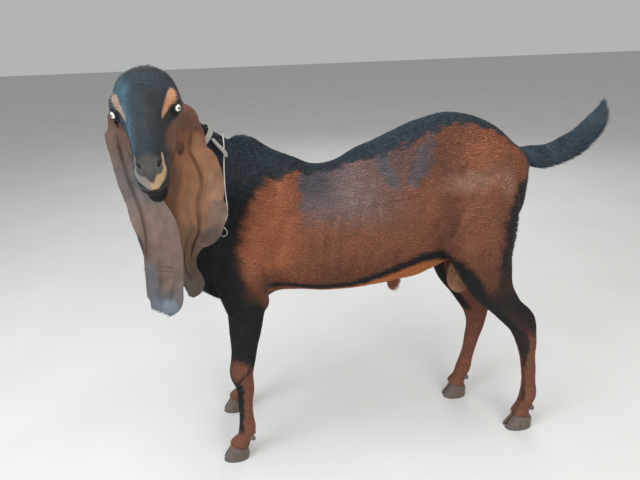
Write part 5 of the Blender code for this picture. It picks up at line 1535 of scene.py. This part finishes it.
def scatter(corners, facing, count):
    # even shares of area: points at regular steps of the summed triangle area, jittered inside
    sizes = np.linalg.norm(np.cross(corners[:, 1] - corners[:, 0], corners[:, 2] - corners[:, 0]), axis=1)
    total = np.cumsum(sizes)
    wanted = (np.arange(count) + chance.uniform(0.0, 1.0, count)) / count * total[-1]
    chosen = np.searchsorted(total, wanted).clip(0, len(sizes) - 1)
    a, b = chance.uniform(0.0, 1.0, (2, count))
    over = a + b > 1.0
    a, b = np.where(over, 1 - a, a), np.where(over, 1 - b, b)
    weight = np.stack([1 - a - b, a, b], 1)[..., None]
    return (corners[chosen] * weight).sum(1), unit((facing[chosen] * weight).sum(1)), chosen


def unwrapOnLine(points, line, part, parts):
    # the skin rolled out: the way along the region's line, and the angle round it
    along, turn = aroundLine(points, line, True)
    turn = turn / (2 * math.pi) + 0.5
    return np.stack([0.01 + 0.98 * along, (part + 0.01 + 0.98 * turn) / parts], 1)


triangles = np.empty(len(skin.data.polygons) * 3, np.int32)
skin.data.polygons.foreach_get("vertices", triangles)
triangles = triangles.reshape(-1, 3)
middles = skinPoints[triangles].mean(1)
owner = np.array(list(regions))[ownerOf(skinShares)[triangles[:, 0]]]
inTrunk = owner == "trunk"
onBack = inTrunk & (np.abs(middles[:, 1]) < 0.075) & (middles[:, 2] > 0.8)
coats = {
    # which triangles, how many tufts, the slot, and the regions whose lines the map follows
    "left": (inTrunk & ~onBack & (middles[:, 1] < 0), 32500, "bay_coat", ["trunk"]),
    "right": (inTrunk & ~onBack & (middles[:, 1] >= 0), 32500, "bay_coat", ["trunk"]),
    "back": (onBack, 21000, "bay_coat", ["trunk"]),
    "neck": (owner == "neck", 27000, "black_coat", ["neck"]),
    "tail": (owner == "tail", 10000, "black_coat", ["tail"]),
    "head": (owner == "head", 32500, "face_coat", ["head"]),
    "forelegs": (np.isin(owner, ["foreLeft", "foreRight"]), 27000, "bay_coat", ["foreLeft", "foreRight"]),
    "hindlegs": (np.isin(owner, ["hindLeft", "hindRight"]), 32000, "bay_coat", ["hindLeft", "hindRight"]),
}


def dressSkin(name, chosen, count, slot, lines):
    picked = triangles[chosen]
    roots, facing, _ = scatter(skinPoints[picked], skinNormals[picked], count)
    place = toHead(roots)
    mirror = mirrored(place)
    # no tufts inside the eyes, the nostrils or the closed mouth, or under the claws
    bare = np.linalg.norm(mirror - eyeForm["place"] - eyeForm["gaze"] * 0.009, axis=1) < 0.014
    bare |= np.linalg.norm((mirror - face["nostril"]) / (0.009, 0.005, 0.007), axis=1) < 1.0
    bare |= (np.abs(place[:, 2] - np.interp(place[:, 0], *face["mouth"])) < 0.0022) & (place[:, 0] > 0.18)
    bare |= (facing[:, 2] < -0.75) & (roots[:, 2] < 0.056)
    shares = {key: (share[~bare], way[~bare]) for key, (share, way) in shareOfRegions(roots).items()}
    roots, facing, place = roots[~bare], facing[~bare], place[~bare]
    x, y, z = roots.T
    # longer hair on the crest of the back, the brisket, the poll and the underside of the tail; shorter
    # and finer low on the legs, and shorter on the muzzle
    crest = fall(0.015, 0.055, np.abs(y)) * step(0.8, 0.86, z) * step(0.02, 0.1, x) * fall(0.76, 0.82, x)
    brisket = fall(-0.02, 0.06, x) * step(0.44, 0.5, z) * fall(0.62, 0.72, z)
    poll = fall(0.035, 0.075, place[:, 0]) * step(0.045, 0.07, place[:, 2]) * (np.abs(place[:, 1]) < 0.08)
    fringe = step(0.5, 0.9, shares["tail"][0]) * fall(-0.4, 0.3, facing[:, 2])
    low = fall(0.06, 0.3, z)
    muzzle = step(0.18, 0.25, place[:, 0]) * (shares["head"][0] > 0.5)
    length = ofRegions(shares, "hair") * (1.0 + 0.25 * crest + 0.4 * brisket) + 0.0035 * poll
    length = length * (1.0 + 0.35 * fringe) * (1 - 0.45 * low) * (1 - 0.4 * muzzle)
    lift = ofRegions(shares, "lift") + 0.02 * crest + 0.08 * brisket + 0.1 * poll + 0.1 * fringe
    wide = ofRegions(shares, "wide") * (1 - 0.25 * low)
    maps = [unwrapOnLine(roots, regions[line]["line"], part, len(lines)) for part, line in enumerate(lines)]
    spots = np.where((y < 0)[:, None], maps[0], maps[-1])
    return tuftMesh(f"goat_coat_{name}", slot, roots, facing, lieOfCoat(facing, shares), length, wide, lift,
                    coatColour(roots, shares), spots)


def dressEar(name, points, share, way, ear):
    # the same tufts on the ears, lying down their length
    look = earForm[name]
    around, count = points.shape[1], look["tufts"]
    grid = gridFaces(*points.shape[:2])
    points, share, way = points.reshape(-1, 3), share.reshape(-1), way.reshape(-1)
    grid = grid[way[grid[:, 0]] > 0.06]
    corners = np.concatenate([grid[:, (0, 1, 2)], grid[:, (0, 2, 3)]])
    roots, normals, chosen = scatter(points[corners], normalsOf(ear)[:len(points)][corners], count)
    first = corners[chosen, 0]
    down = points[np.minimum(first + around, len(points) - 1)] - points[first]
    lie = unit(down - (down * normals).sum(1)[:, None] * normals)
    spots = np.stack([0.01 + 0.98 * ((first % around) / around), 0.01 + 0.98 * way[first]], 1)
    size, wide, lift = (np.full(count, earForm[key]) for key in ("hair", "wide", "lift"))
    return tuftMesh(f"goat_coat_ear_{name}", look["slot"], roots, normals, lie, size, wide, lift,
                    earColour(name, share[first], way[first], roots), spots)


total = sum(dressSkin(name, *coat) for name, coat in coats.items())
total += sum(dressEar(name, *ear) for name, ear in ears.items())
print("coat:", total, "triangles")


# Floor, light and camera
studio = {
    "camera": (0.2015, -1.2509, 1.1931), "lens": 28.41, "sensor": 36.0,
    "right": np.array([0.9957, -0.087, -0.0316]), "up": np.array([0.0638, 0.3985, 0.9149]),
    "reach": 14.0,
    "floor": {"view": (0.62, 0.6, 0.57), "light": (0.66, 0.64, 0.61), "dark": (0.58, 0.56, 0.53),
              "scale": 3.0, "rough": 0.9, "surface": {"Specular IOR Level": 0.1}},
    # place, what it points at, size, power, colour
    "lights": {
        "skyPanel": ((-0.3, -0.6, 3.0), (0.0, 0.0, 0.6), (3.2, 2.6), 84.0, (0.9, 0.95, 1.0)),
        "leftPanel": ((-2.8, -1.6, 1.9), (-0.1, 0.0, 0.7), (1.8, 1.8), 66.0, (0.8, 0.9, 1.0)),
        "backPanel": ((0.9, 3.2, 2.3), (0.0, 0.0, 0.6), (2.4, 1.8), 30.0, (0.95, 0.97, 1.0)),
        "frontPanel": ((1.1, -3.0, 1.7), (0.0, 0.0, 0.6), (2.2, 1.8), 52.0, (1.0, 0.95, 0.9)),
    },
    "sky": {"Color": (0.86, 0.88, 0.9), "Strength": 0.52},
}


def paleFloor():
    corners = studio["reach"] * np.array([(-1, -1, 0), (1, -1, 0), (1, 1, 0), (-1, 1, 0)])
    floor = makePiece("studio_floor", corners + bodyShift, np.array([[0, 1, 2, 3]]))
    floor.data.materials.append(grainMaterial("paleFloor", studio["floor"]))


def softLight(name, place, target, size, power, colour):
    lamp = bpy.data.lights.new(name, "AREA")
    lamp.shape = "RECTANGLE"
    lamp.size, lamp.size_y = size
    lamp.energy = power
    lamp.color = colour
    light = bpy.data.objects.new(name, lamp)
    scene.collection.objects.link(light)
    light.location = place
    light.rotation_euler = (Vector(target) - Vector(place)).to_track_quat("-Z", "Y").to_euler()


paleFloor()
for name, look in studio["lights"].items():
    softLight(name, *look)

world = bpy.data.worlds.new("studio")
world.use_nodes = True
feed(world.node_tree, world.node_tree.nodes["Background"], studio["sky"])
scene.world = world
scene.view_settings.view_transform = "Standard"

lens = bpy.data.cameras.new("view")
lens.lens = studio["lens"]
lens.sensor_width = studio["sensor"]
camera = bpy.data.objects.new("view", lens)
right, up = unit(studio["right"]), unit(studio["up"])
back = np.cross(right, up)
turned = Matrix(np.stack([right, np.cross(back, right), back], 1).tolist()).to_4x4()
turned.translation = Vector(np.array(studio["camera"]) - bodyShift)
camera.matrix_world = turned
scene.collection.objects.link(camera)
scene.camera = camera

print("done")
